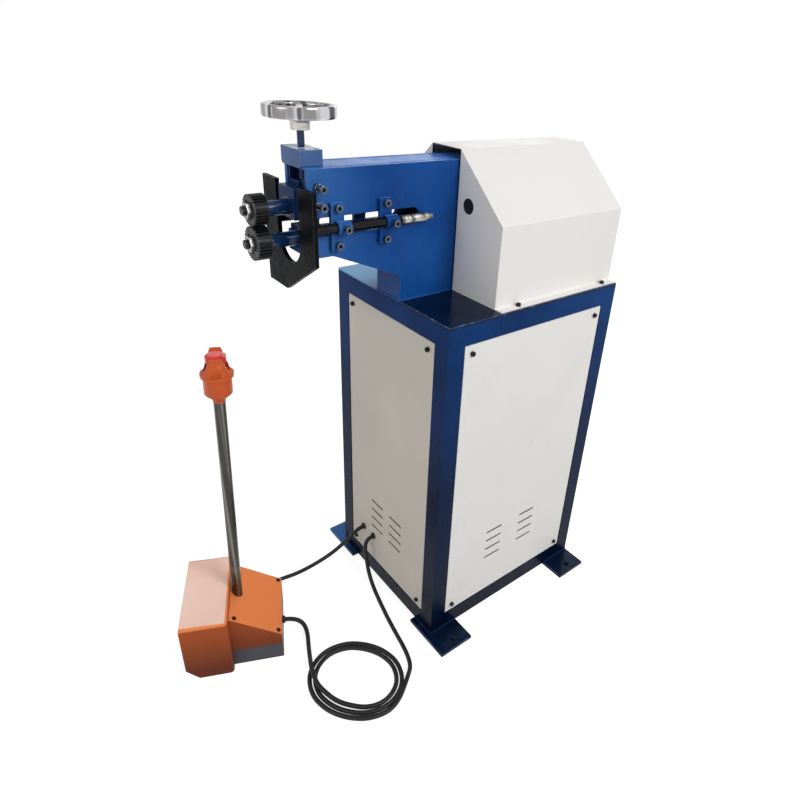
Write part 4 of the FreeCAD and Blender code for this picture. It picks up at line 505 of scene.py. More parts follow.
# Mesh helpers
def corner_arc(before, corner, after, radius, steps):
    """Points of a rounded 2D corner."""
    p0, p1, p2 = Vector(before), Vector(corner), Vector(after)
    into = (p0 - p1).normalized()
    out = (p2 - p1).normalized()
    half = into.angle(out) / 2
    reach = min(radius / tan(half), (p0 - p1).length * 0.49, (p2 - p1).length * 0.49)
    true_radius = reach * tan(half)
    centre = p1 + (into + out).normalized() * (true_radius / sin(half))
    a0 = p1 + into * reach - centre
    a1 = p1 + out * reach - centre
    turn = a0.angle_signed(a1)
    return [tuple(centre + Matrix.Rotation(-turn * k / steps, 2) @ a0) for k in range(steps + 1)]


def rounded(points, radius, steps=4, closed=True):
    """A 2D outline with every corner rounded by the same radius."""
    made = []
    count = len(points)
    for i, corner in enumerate(points):
        if not closed and i in (0, count - 1):
            made.append(tuple(corner))
        else:
            made += corner_arc(points[i - 1], corner, points[(i + 1) % count], radius, steps)
    return made


def polar(radius, angle):
    return (radius * cos(angle), radius * sin(angle))


def rectangle(x0, x1, y0, y1):
    return [(x0, y0), (x1, y0), (x1, y1), (x0, y1)]


def circle(x, y, radius, count=40):
    spokes = [polar(radius, tau * k / count) for k in range(count)]
    return [(x + a, y + b) for a, b in spokes]


def slot_outline(x, y, length, height, steps=6):
    """Round-ended slot."""
    r = height / 2
    points = []
    for side in (1, -1):
        for k in range(steps + 1):
            angle = pi * k / steps - pi / 2
            points.append((x + side * (length / 2 - r + r * cos(angle)), y + side * r * sin(angle)))
    return points

def hexagon(across_flats):
    return circle(0, 0, across_flats / sqrt(3), 6)


def axes(origin, along, up=(0, 0, 1)):
    """Matrix whose Z runs along the first direction, and whose Y is nearest the second."""
    z = Vector(along).normalized()
    x = Vector(up).cross(z).normalized()
    y = z.cross(x)
    turn = Matrix((x, y, z)).transposed().to_4x4()
    return Matrix.Translation(Vector(origin)) @ turn


def lifted(place, height):
    """The same place, further along its own Z axis."""
    return place @ Matrix.Translation((0, 0, height))


def add_mesh(bm, mesh, matrix):
    """Merge a mesh into a bmesh, placed by a matrix."""
    before = len(bm.verts)
    bm.from_mesh(mesh)
    bm.verts.ensure_lookup_table()
    bmesh.ops.transform(bm, matrix=matrix, verts=bm.verts[before:])


def edge_layer(bm):
    """Face layer that the materials read as rubbed edges, which most finishes also tint as a painted highlight.
    """
    return bm.faces.layers.float.get("edge_wear") or bm.faces.layers.float.new("edge_wear")


def add_slab(bm, outline, holes, thickness, matrix, edge=0.6):
    """Plate with eased edges and holes: outline in the matrix's XY plane, thickness up from it."""
    data = bpy.data.curves.new("slab", "CURVE")
    data.dimensions = "2D"
    data.fill_mode = "BOTH"
    data.extrude = thickness / 2 - edge
    data.bevel_depth = edge
    data.bevel_resolution = 1
    data.offset = -edge
    for points in [outline] + list(holes):
        spline = data.splines.new("POLY")
        spline.points.add(len(points) - 1)
        for point, place in zip(spline.points, points):
            point.co = (place[0], place[1], 0, 1)
        spline.use_cyclic_u = True
    carrier = bpy.data.objects.new("slab", data)
    mesh = bpy.data.meshes.new_from_object(carrier)
    wear_and_highlight = edge_layer(bm)
    before = len(bm.faces)
    add_mesh(bm, mesh, matrix @ Matrix.Translation((0, 0, thickness / 2)))
    bm.faces.ensure_lookup_table()
    flat = (matrix.to_3x3() @ Vector((0, 0, 1))).normalized()
    for face in bm.faces[before:]:
        face.normal_update()
        face[wear_and_highlight] = 1 if 0.2 < abs(face.normal.dot(flat)) < 0.97 else 0
    bpy.data.objects.remove(carrier)
    bpy.data.meshes.remove(mesh)
    bpy.data.curves.remove(data)

def bridge(bm, low, high):
    """Faces between two closed rings with the same number of corners."""
    for k in range(len(low)):
        n = (k + 1) % len(low)
        bm.faces.new((low[k], low[n], high[n], high[k]))


def add_lathe(bm, profile, matrix, segments=64):
    """Turned form from (radius, height) points; it closes at the axis where a radius is 0."""
    rings = []
    for radius, height in profile:
        around = segments if radius > 1e-6 else 1
        places = [Vector((*polar(radius, tau * k / segments), height)) for k in range(around)]
        rings.append([bm.verts.new(matrix @ place) for place in places])
    for low, high in zip(rings, rings[1:]):
        if len(low) == len(high) == segments:
            bridge(bm, low, high)
        elif len(low) != len(high):
            for k in range(segments):
                n = (k + 1) % segments
                if len(low) == 1:
                    bm.faces.new((low[0], high[n], high[k]))
                else:
                    bm.faces.new((low[k], low[n], high[0]))


def add_sweep(bm, path, radii, sides=10):
    """Round bar along a path of points, with a radius at each point."""
    rings = []
    side = None
    for i, place in enumerate(path):
        ahead = (path[min(i + 1, len(path) - 1)] - path[max(i - 1, 0)]).normalized()
        side = (side - ahead * side.dot(ahead) if side else ahead.orthogonal()).normalized()
        other = ahead.cross(side)
        ring = []
        for k in range(sides):
            a, b = polar(radii[i], tau * k / sides)
            ring.append(bm.verts.new(place + side * a + other * b))
        rings.append(ring)
    for low, high in zip(rings, rings[1:]):
        bridge(bm, low, high)
    bm.faces.new(list(reversed(rings[0])))
    bm.faces.new(rings[-1])


def add_thread(bm, matrix, radius, depth, pitch, length, per_turn=24):
    """Helical ridge of a screw thread round the matrix's Z axis, from 0 to its length."""
    root = radius - depth
    ridge = ((root, -0.48 * pitch), (radius, -0.08 * pitch), (radius, 0.08 * pitch), (root, 0.48 * pitch))
    rows = []
    for k in range(int(length / pitch * per_turn) + 1):
        row = []
        for r, dz in ridge:
            height = min(max(pitch * k / per_turn + dz, 0), length)
            row.append(bm.verts.new(matrix @ Vector((*polar(r, tau * k / per_turn), height))))
        rows.append(row)
    for low, high in zip(rows, rows[1:]):
        for j in range(3):
            bm.faces.new((low[j], high[j], high[j + 1], low[j + 1]))


def add_weld(bm, start, end, radius=3, pitch=2.6):
    """Weld bead: overlapping ripples along a straight seam."""
    start, end = Vector(start), Vector(end)
    length = (end - start).length
    steps = max(6, int(length / pitch * 4))
    path = []
    radii = []
    for k in range(steps + 1):
        t = k / steps
        ripple = 0.86 + 0.14 * abs(sin(pi * t * length / pitch))
        waver = 1 + 0.1 * sin(17 * t + length) + 0.06 * sin(61 * t)
        ends = 0.55 if k in (0, steps) else 1
        path.append(start.lerp(end, t))
        radii.append(radius * ripple * waver * ends)
    add_sweep(bm, path, radii)


def add_cap_screw(bm, socket_shades, seat, axis, radius, height, across=0.92):
    """Socket-head screw head: knurled side, chamfered rim, hexagon socket with a black plate at its floor as
    painted shade.
    """
    place = axes(seat, axis, (0, 0, 1) if abs(axis[2]) < 0.9 else (0, 1, 0))
    knurl = [polar(radius - 0.18 * (k % 2), pi * k / 30) for k in range(60)]
    deep = height / 2
    upper = lifted(place, height - deep)
    add_slab(bm, knurl, [], height - deep, place, edge=0.2)
    add_slab(bm, circle(0, 0, radius, 60), [hexagon(radius * across)], deep, upper, edge=0.45)
    # A thin black plate in the socket, as painted shade.
    add_slab(socket_shades, hexagon(radius * across * 0.99), [], 0.5, upper, edge=0.1)


def add_nut(bm, seat, axis, across, height, bore):
    """Hexagon nut with a washer face."""
    place = axes(seat, axis)
    hole = circle(0, 0, bore, 32)
    add_slab(bm, rounded(hexagon(across), 0.5, 2), [hole], height - 0.6, lifted(place, 0.6), edge=0.7)
    add_slab(bm, circle(0, 0, across * 0.475, 40), [hole], 0.8, place, edge=0.15)


def piece(name, bm, body, material, node=None, smooth=32):
    """Turn a bmesh in millimetres into a finished piece that rides on a body, and stands for a node."""
    bmesh.ops.remove_doubles(bm, verts=bm.verts, dist=0.004)
    bmesh.ops.recalc_face_normals(bm, faces=bm.faces)
    bmesh.ops.transform(bm, matrix=Matrix.Scale(MM, 4), verts=bm.verts)
    mesh = bpy.data.meshes.new(name)
    bm.to_mesh(mesh)
    bm.free()
    mesh.shade_smooth()
    mesh.set_sharp_from_angle(angle=radians(smooth))
    mesh.materials.append(material)
    made = add_object(name, mesh)
    made.modifiers.new("normals", "WEIGHTED_NORMAL").keep_sharp = True
    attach(made, body)
    if node:
        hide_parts(node)
    return made


def cad_copy(node):
    """A CAD solid's mesh as a bmesh in millimetres."""
    bm = bmesh.new()
    bm.from_mesh(frame["nodes"][node].data)
    bmesh.ops.transform(bm, matrix=Matrix.Scale(1 / MM, 4), verts=bm.verts)
    return bm


def hard_edges(bm, shortest):
    return [e for e in bm.edges if len(e.link_faces) == 2 and e.is_convex
            and e.calc_face_angle() > radians(35) and e.calc_length() > shortest]


def bevel(bm, edges, width, segments, clamped):
    return bmesh.ops.bevel(bm, geom=edges, offset=width, offset_type="OFFSET", segments=segments, profile=0.5,
                           affect="EDGES", clamp_overlap=clamped)


def eased(name, node, width, material, shortest=8, segments=2, corner=0):
    """A copy of a CAD solid with its long outer edges rounded off, standing for its node.

    A corner radius rounds the edges between two broad faces first.
    """
    broad_face = 2500
    bm = cad_copy(node)
    bmesh.ops.remove_doubles(bm, verts=bm.verts, dist=0.004)
    bmesh.ops.dissolve_limit(bm, angle_limit=radians(1), verts=bm.verts, edges=bm.edges)
    wear_and_highlight = edge_layer(bm)
    if corner:
        broad = [e for e in hard_edges(bm, shortest) if min(f.calc_area() for f in e.link_faces) > broad_face]
        bevel(bm, broad, corner, 6, False)
    for face in bevel(bm, hard_edges(bm, shortest), width, segments, True)["faces"]:
        face[wear_and_highlight] = 1
    piece(name, bm, frame["nodes"][node]["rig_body"], material, node)


def dress(material, *nodes):
    """Give CAD nodes whose shape is right a better surface."""
    for node in nodes:
        slots = frame["nodes"][node].data.materials
        slots.clear()
        slots.append(material)


# Cabinet
def build_cabinet():
    eased("cabinet_tubes", "cabinet_frame", 2.6, frame_blue, shortest=45, segments=3)
    eased("cabinet_top", "top_plate", 1.2, top_plate_blue, shortest=100)
    bm = bmesh.new()
    welds = bmesh.new()
    for side in (-1, 1):
        for end, outer_y in ((-1, front_y), (1, rear_y)):
            x0, x1 = sorted((side * foot_outer_x, side * (foot_outer_x - foot_length)))
            y0, y1 = sorted((end * foot_outer_y, end * (foot_outer_y - foot_width)))
            hole = circle(side * bolt_x, (y0 + y1) / 2, bolt_radius)
            plate = rounded(rectangle(x0, x1, y0, y1), 1.5, 2)
            add_slab(bm, plate, [hole], foot_thickness, Matrix.Identity(4), edge=0.8)
            corner = (side * half_width, outer_y, foot_thickness)
            add_weld(welds, corner, (corner[0], end * (foot_outer_y - foot_width), foot_thickness))
            add_weld(welds, (side * (foot_outer_x - foot_length), outer_y, foot_thickness), corner)
    piece("foot_plates_drilled", bm, "machine", foot_blue, "foot_plates")
    piece("foot_welds", welds, "machine", weld_paint)


def panel_piece(name, node, matrix, half_span, slots, ways, material):
    """Sheet panel with rolled edges and vent slots; the matrix's Z is its outward face."""
    bm = bmesh.new()
    half = half_span - panel_gap
    outline = rounded(rectangle(-half, half, sill_top + panel_gap, rail_bottom - panel_gap), 2, 3)
    holes = [slot_outline(x, z, 50, 5) for x, z in slots] + ways
    add_slab(bm, outline, holes, panel_thickness, matrix, edge=0.5)
    piece(name, bm, "machine", material, node)


def vents(spread, shift):
    """Middles of the vent slots: two columns of four."""
    return [(shift + side * spread, 238 - 26.3 * row) for side in (-1, 1) for row in range(4)]


def build_panels():
    inset = panel_recess + panel_thickness
    front = axes((0, front_y + inset, 0), (0, -1, 0))
    ways = [circle(x, cable_hole_z, 7.1, 32) for x in cable_holes_x]
    panel_piece("front_cover", "front_panel", front, post_inner, vents(38, 0), ways, front_sheet)
    rear = axes((0, rear_y - inset, 0), (0, 1, 0))
    ways = [circle(-mains_x, cable_hole_z, 10.1, 32)]
    panel_piece("rear_cover", "rear_panel", rear, post_inner, vents(38, 0), ways, white_sheet)
    for side, name in ((1, "right_cover"), (-1, "left_cover")):
        face = axes((side * (half_width - inset), middle_y, 0), (side, 0, 0))
        panel_piece(name, "side_panels", face, side_panel_half, vents(54, -6 * side), [], white_sheet)


def panel_screw_seats():
    seats = []
    for z in (68, 735):
        for x in (-135, 135):
            seats.append(((x, front_y + panel_recess, z), (0, -1, 0)))
            seats.append(((x, rear_y - panel_recess, z), (0, 1, 0)))
        for y in (middle_y - 180, middle_y + 180):
            for side in (-1, 1):
                seats.append(((side * (half_width - panel_recess), y, z), (side, 0, 0)))
    for x in (-182, 182):
        for y in (-48.5, 210.5):
            seats.append(((x, y, cabinet_height + hood_wall), (0, 0, 1)))
    return seats


def pedal_screw_seats():
    slope = atan((lid_top - lid_bottom) / lid_run)
    normal = Matrix.Rotation(pedal_turn, 3, "Z") @ Vector((0, sin(slope), cos(slope)))
    lid_thickness = 3
    seats = []
    for u in (-73, 73):
        for v in (105, 193):
            height = lid_top - tan(slope) * (v - lid_start)
            seats.append((pedal_point(u, v, height) + normal * lid_thickness, normal))
    return seats


def build_cover_screws():
    """Tall socket heads on the sheets, low button heads on the pedal's lid."""
    button = [(0, 0), (4.8, 0), (4.8, 0.7), (4.5, 1.5), (3.9, 2.3), (3.1, 2.8), (2.5, 2.95)]
    bm = bmesh.new()
    socket_shades = bmesh.new()
    for seat, axis in panel_screw_seats():
        add_cap_screw(bm, socket_shades, seat, axis, *cover_head, 0.7)
    for seat, axis in pedal_screw_seats():
        place = axes(seat, axis, (0, 1, 0))
        add_lathe(bm, button, place, 32)
        add_slab(bm, circle(0, 0, 2.6, 32), [hexagon(3.2)], 1.55, lifted(place, 1.4), edge=0.1)
    # Black plates in the sockets, as painted shade.
    piece("cover_socket_shade_plates", socket_shades, "machine", oxide)
    piece("cover_screw_heads", bm, "machine", screw_black, "cover_screws")


def build_glands():
    """Rubber grommets on the front panel, two glands on the foot switch, one at the rear for the mains."""
    bore = cable_bore
    grommet = [
        (bore, -4), (7, -2), (9, 0), (9, 1.6), (8.4, 3), (7.2, 4.4), (6, 5), (bore, 4.6),
        (bore, -4)]
    gland = [(bore, 0), (9, 0), (9, 2.6), (8.2, 3.2), (8, 5), (6.4, 6), (bore, 5.8), (bore, 0)]
    mains_cap = [
        (5, 7.9), (11, 7.9), (11, 10.4), (9.8, 10.9), (9.8, 12.2), (11, 12.7), (10.8, 14.6),
        (9.6, 16), (5, 16), (5, 7.9)]
    bm = bmesh.new()
    for x in cable_holes_x:
        add_lathe(bm, grommet, axes((x, front_y + panel_recess, cable_hole_z), (0, -1, 0)), 40)
    for foot, turn in ((pedal_point(9, 202, 33), 0), (pedal_point(-82, 172, 28), pi / 2)):
        out = Matrix.Rotation(pedal_turn + turn, 3, "Z") @ Vector((0, 1, 0))
        add_lathe(bm, gland, axes(foot, out), 40)
    place = axes((mains_x, rear_y - panel_recess, cable_hole_z), (0, 1, 0))
    add_slab(bm, rounded(hexagon(25.2), 0.8, 2), [circle(0, 0, 5, 32)], 8, place, edge=0.8)
    add_lathe(bm, mains_cap, place, 40)
    piece("cable_grommets", bm, "machine", black_plastic, "cable_glands")


# Arm
def arm_side_outline():
    """Side of the arm as (y, z), its throat open to the front."""
    r = (throat_top - throat_bottom) / 2
    middle = (throat_top + throat_bottom) / 2
    throat = []
    for k in range(13):
        rise, depth = polar(r, pi * k / 12)
        throat.append((throat_end - r + depth, middle + rise))
    below = [
        (arm_front, throat_bottom), (arm_front, arm_bottom), (arm_kink_y, arm_bottom),
        (front_y, pedestal_top), (front_y, cabinet_height), (arm_rear, cabinet_height), (arm_rear, arm_top)]
    return [(arm_front, arm_top), (arm_front, throat_top)] + throat + below


def clamp_screw_places():
    return [(y, rod_z + rise) for y in clamp_rows for rise in (-clamp_screw_rise, clamp_screw_rise)]


def build_arm():
    for side, name in ((1, "right"), (-1, "left")):
        bm = bmesh.new()
        x0 = arm_inner if side > 0 else -arm_half_width
        place = axes((x0, 0, 0), (1, 0, 0))
        holes = clamp_screw_places()
        if side > 0:
            holes += [(gib_screw_y, z) for z in gib_screw_heights]
        holes = [circle(y, z, screw_hole_radius, 24) for y, z in holes]
        add_slab(bm, arm_side_outline(), holes, arm_half_width - arm_inner, place, edge=0.9)
        piece("arm_cheek_" + name, bm, "machine", blue, "arm_side_" + name)
    welds = bmesh.new()
    seam_z = arm_top - 0.9
    for side in (-1, 1):
        x = side * arm_half_width
        edge = side * arm_inner
        add_weld(welds, (x, front_y, cabinet_height), (x, arm_rear, cabinet_height), 2.4)
        add_weld(welds, (edge, arm_front + 34, seam_z), (edge, arm_rear, seam_z), 1.5, 4)
        add_weld(welds, (side * 33, slide_y - 17, arm_top), (side * 33, slide_y + 19, arm_top), 2.2)
    x = arm_half_width
    add_weld(welds, (-x, front_y, cabinet_height), (x, front_y, cabinet_height), 2.4)
    add_weld(welds, (-32, slide_y + 20, arm_top), (32, slide_y + 20, arm_top), 2.6)
    piece("arm_weld_beads", welds, "machine", blue)
    eased("top_nut_block", "top_block", 0.9, block_blue, shortest=12)
    eased("front_bearing_block", "lower_bearing_block", 0.8, slide_blue, shortest=12)
    dress(blue, "arm_spine")
    dress(slide_blue, "slide_guides")
    dress(shaft_blue, "lower_front_bush")


def build_slide():
    eased("bearing_slide", "slide_block", 0.8, slide_blue, shortest=12)
    eased("slide_retainers", "slide_keepers", 0.5, slide_blue, shortest=9)
    dress(shaft_blue, "slide_bush")


def build_socket_screws():
    """Cap screws of the clamps, the top block and the bearing plate, and the gib screws with lock nuts."""
    bm = bmesh.new()
    socket_shades = bmesh.new()
    ring_top = rod_x + 14
    for side in (-1, 1):
        for y, z in clamp_screw_places():
            add_cap_screw(bm, socket_shades, (side * clamp_face, y, z), (side, 0, 0), *m8_head)
        for y in clamp_rows:
            seat = (side * ring_top, y + clamp_ring_shift, rod_z)
            add_cap_screw(bm, socket_shades, seat, (side, 0, 0), *m8_head)
    for x in (-26.5, 26.5):
        for y in (slide_y - 13, slide_y + 13):
            add_cap_screw(bm, socket_shades, (x, y, arm_top + 22), (0, 0, 1), *m6_head)
    for x in (-26, 26):
        for z in (914, 1021):
            add_cap_screw(bm, socket_shades, (x, arm_rear + 18, z), (0, 1, 0), *m8_head)
    piece("socket_screw_heads", bm, "machine", screw_steel, "socket_screws")
    bm = bmesh.new()
    for z in gib_screw_heights:
        add_cap_screw(bm, socket_shades, (56, gib_screw_y, z), (1, 0, 0), *m8_head)
        add_nut(bm, (arm_half_width, gib_screw_y, z), (1, 0, 0), 13, 6.5, 4)
        place = axes((23.1, gib_screw_y, z), (1, 0, 0))
        add_lathe(bm, [(0, 0), (3.3, 0), (3.3, 33), (0, 33)], place, 24)
        add_thread(bm, place, 3.95, 0.7, 1.25, 33, 16)
    piece("gib_set_screws", bm, "machine", screw_steel, "gib_screws")
    # Black plates in the sockets, as painted shade.
    piece("socket_shade_plates", socket_shades, "machine", oxide)


# Pressure screw and handwheel
def add_spoke(bm, place, turn):
    """One cast spoke, waisted halfway between the hub and the rim."""
    start = 13
    reach = 35.2
    steps = 8
    sections = []
    spoke = bmesh.new()
    for step in range(steps + 1):
        t = step / steps
        half = 8 - 1.4 * sin(pi * t)
        low = 1131 + 0.8 * sin(pi * t)
        high = 1138.6 - t
        section = rounded([(-half, low), (half, low), (half * 0.8, high), (-half * 0.8, high)], 2.2, 3)
        sections.append([spoke.verts.new((start + reach * t, a, b)) for a, b in section])
    for one, two in zip(sections, sections[1:]):
        bridge(spoke, one, two)
    carrier = bpy.data.meshes.new("spoke")
    spoke.to_mesh(carrier)
    spoke.free()
    add_mesh(bm, carrier, place @ Matrix.Rotation(turn, 4, "Z"))
    bpy.data.meshes.remove(carrier)


def build_handwheel():
    foot = [
        (0, 1027.1), (8.4, 1027.1), (9, 1027.7), (9, 1030.6), (8.6, 1031), (5.3, 1031.2),
        (5.3, 1089)]
    shank = [(5.3, 1088), (5.98, 1088.8), (5.98, 1140), (0, 1140)]
    end = [(0, 1139.8), (5.98, 1139.8), (5.98, 1145.6), (5.4, 1147.2), (3.2, 1149.4), (0, 1149.8)]
    rim = [
        (46.5, 1131.6), (47.1, 1131), (56.4, 1131), (57.6, 1131.5), (58.2, 1132.6), (58.5, 1135),
        (58.5, 1146), (58.1, 1148.2), (57.1, 1149.5), (55.4, 1150), (51.4, 1150), (49.2, 1149.4),
        (47.4, 1147.8), (46.5, 1145.6), (46.5, 1131.6)]
    hub = [
        (6.02, 1112.6), (6.6, 1112), (14.7, 1112), (15.5, 1112.8), (15.5, 1122.4), (16.2, 1124),
        (20.4, 1128), (23.3, 1130.8), (23.4, 1131.6), (21, 1134.8), (16.4, 1138.6), (13, 1140.6),
        (9.2, 1141.4), (6.6, 1141.5), (6.02, 1141), (6.02, 1112.6)]
    place = Matrix.Translation((0, slide_y, 0))
    bm = bmesh.new()
    add_lathe(bm, foot, place, 40)
    add_thread(bm, lifted(place, 1038), 5.95, 0.9, 3, 47)
    add_lathe(bm, shank, place, 40)
    piece("screw_spindle", bm, "screw", shaft_blue, "pressure_screw")
    bm = bmesh.new()
    add_lathe(bm, end, place, 40)
    piece("screw_end", bm, "screw", hub_alloy)
    bm = bmesh.new()
    add_lathe(bm, rim, place, 112)
    piece("handwheel_rim", bm, "screw", bright, "handwheel")
    bm = bmesh.new()
    add_lathe(bm, hub, place, 64)
    for k in range(3):
        add_spoke(bm, place, radians(90 + 120 * k))
    piece("handwheel_hub", bm, "screw", hub_alloy, "handwheel")


# Rollers, shafts and nuts
def along_y(x, y, z):
    """Place whose Z axis runs toward the rear."""
    return axes((x, y, z), (0, 1, 0))


def toothed_outline(radius, teeth=28, depth=2.8):
    """Outline of a roller with straight teeth, its grooves a little narrower at the root."""
    root = radius - depth
    half_tip = pi * radius / teeth / 2
    half_root = half_tip * 0.75
    points = []
    for k in range(teeth):
        middle = tau * k / teeth
        for r, half in ((radius, -half_tip), (root, -half_root), (root, half_root), (radius, half_tip)):
            angle = middle + half / r
            points.append((r * sin(angle), r * cos(angle)))
        crest = middle + pi / teeth
        points.append((radius * sin(crest), radius * cos(crest)))
    return points


def build_rollers():
    for side, axis_z, radius in (("upper", upper_axis_z, 25.2), ("lower", lower_axis_z, 28)):
        bm = bmesh.new()
        place = along_y(0, roller_face, axis_z)
        outline = toothed_outline(radius)
        add_slab(bm, outline, [circle(0, 0, 17, 48)], 1.6, place, edge=0.35)
        add_slab(bm, outline, [circle(0, 0, 10.05, 48)], 23.5, lifted(place, 1.5), edge=0.45)
        piece(side + "_toothed_roll", bm, side + "_drive", tooth_black, side + "_roller")
        bm = bmesh.new()
        add_nut(bm, (0, roller_face + 1.5, axis_z), (0, -1, 0), 24, 8, 8)
        nut = side + "_roller_nut"
        piece(nut + "_hex", bm, side + "_drive", nut_zinc, nut)


def build_shafts():
    stud = [(0, -513), (6.2, -513), (7.1, -512.2), (7.1, -499.4), (0, -499.4)]
    front = [
        (0, -499.2), (9.9, -499.2), (9.9, -475.6), (11.9, -475.5), (12.5, -474.9), (12.5, -461),
        (12.1, -460.4), (12.1, -459.4), (12.5, -458.8)]
    # The upper shaft swells to a ball in the slide's bush, so that it can tilt
    ball = [(sqrt(13.5 ** 2 - y ** 2), slide_y + y) for y in (-5.1, -3, 0, 3, 5.1)]
    upper = [
        (12.5, -411.2)] + ball + [(12.5, -396.8), (12.5, -384.8), (11.9, -384.2), (11, -384),
        (11, -64.5), (10, -64), (10, -15.2), (9.3, -14.5), (0, -14.5)]
    lower = [
        (12.5, -377), (11.9, -376.5), (11, -376.3), (11, -62.7), (10, -62.5), (10, 10.8),
        (9.3, 11.5), (0, 11.5)]
    for side, axis_z, rest in (("upper", upper_axis_z, upper), ("lower", lower_axis_z, lower)):
        bm = bmesh.new()
        place = along_y(0, 0, axis_z)
        add_lathe(bm, stud, place, 40)
        add_thread(bm, lifted(place, -512.4), 7.95, 0.9, 1.75, 12.8)
        piece(side + "_spindle_thread", bm, side + "_drive", thread_dark)
        bm = bmesh.new()
        add_lathe(bm, front + rest, place, 56)
        piece(side + "_spindle", bm, side + "_drive", shaft_blue, side + "_shaft")


# Sheet gauge
def clamp_section(side):
    """Cross-section of a clamp plate on one side of the arm, grooved for the rod that passes it."""
    half = acos((rod_x - clamp_face) / clamp_groove)
    section = [(arm_half_width, -40), (clamp_face, -40)]
    for k in range(13):
        across, up = polar(clamp_groove, half * (k / 6 - 1))
        section.append((rod_x - across, up))
    section += [(clamp_face, 40), (arm_half_width, 40)]
    return [(-side * x, z) for x, z in section]


def build_gauge_plate():
    """Notched plate; it is drawn with x reversed, because its thickness runs toward the rear."""
    notch = 40
    top = 1032
    bm = bmesh.new()
    outline = [(-89, top), (-89, 845), (-20, 845), (89, 913), (89, top), (notch, top)]
    for k in range(25):
        x, rise = polar(notch, -pi * k / 24)
        outline.append((x, lower_axis_z + rise))
    outline.append((-notch, top))
    flat = [(-x, z) for x, z in outline]
    add_slab(bm, flat, [], gauge_thickness, along_y(0, gauge_face, 0), edge=0.7)
    piece("gauge_plate_black", bm, "gauge", oxide, "gauge_plate")


def build_gauge_rods():
    rod = [(0, gauge_back), (8, gauge_back), (8, -244), (7, rod_end), (0, rod_end)]
    thread_core = [(0, -243.6), (7, -243.6), (7, -186), (5, -174.2), (4.2, -173.5), (0, -173.5)]
    bm = bmesh.new()
    tail = bmesh.new()
    for side in (-1, 1):
        place = along_y(side * rod_x, 0, rod_z)
        add_lathe(bm, rod, place, 48)
        add_lathe(tail, thread_core, place, 40)
        add_thread(tail, lifted(place, rod_end), 7.95, 1, 2, 55)
    piece("gauge_rods_black", bm, "gauge", rod_black, "gauge_rods")
    piece("gauge_rod_tails", tail, "gauge", thread_steel)


def build_gauge_clamps():
    """A grooved plate, a ring with a boss for its screw, and two weld beads at each of four places."""
    plate_width = 25
    ring = [
        (8.1, -12.4), (8.7, -13), (10.9, -13), (11.5, -12.4), (11.5, 12.4), (10.9, 13), (8.7, 13),
        (8.1, 12.4), (8.1, -12.4)]
    boss = [(4.1, 9.6), (7.5, 9.6), (7.5, 13.4), (7, 14), (4.1, 14), (4.1, 9.6)]
    bm = bmesh.new()
    for side in (-1, 1):
        for y in clamp_rows:
            plate = along_y(0, y - plate_width / 2, rod_z)
            add_slab(bm, clamp_section(side), [], plate_width, plate, edge=0.7)
            middle = (side * rod_x, y + clamp_ring_shift, rod_z)
            add_lathe(bm, ring, along_y(*middle), 48)
            add_lathe(bm, boss, axes(middle, (side, 0, 0)), 36)
            for z in (rod_z - 9.4, rod_z + 9.4):
                add_weld(bm, (side * clamp_face, y - 6, z), (side * clamp_face, y + 12, z), 1.7)
    piece("gauge_rod_clamps", bm, "machine", blue, "gauge_clamps")


# Gear hood
def hood_profile(inset):
    """Shoulders and top of the hood as (x, z), moved inward by the inset."""
    slope = atan2(hood_top - hood_shoulder, hood_half_width - hood_top_half_width)
    shoulder = hood_shoulder - inset * tan((pi / 2 - slope) / 2)
    top_x = hood_top_half_width - inset * tan(slope / 2)
    side_x = hood_half_width - inset
    return [(side_x, shoulder), (top_x, hood_top - inset), (-top_x, hood_top - inset), (-side_x, shoulder)]


def hood_line(inset, radius):
    """One face of the folded sheet, from flange to flange."""
    flange = 192
    foot = cabinet_height + hood_wall - inset
    side_x = hood_half_width - inset
    line = [(flange, foot), (side_x, foot)] + hood_profile(inset) + [(-side_x, foot), (-flange, foot)]
    return rounded(line, radius, 5, closed=False)


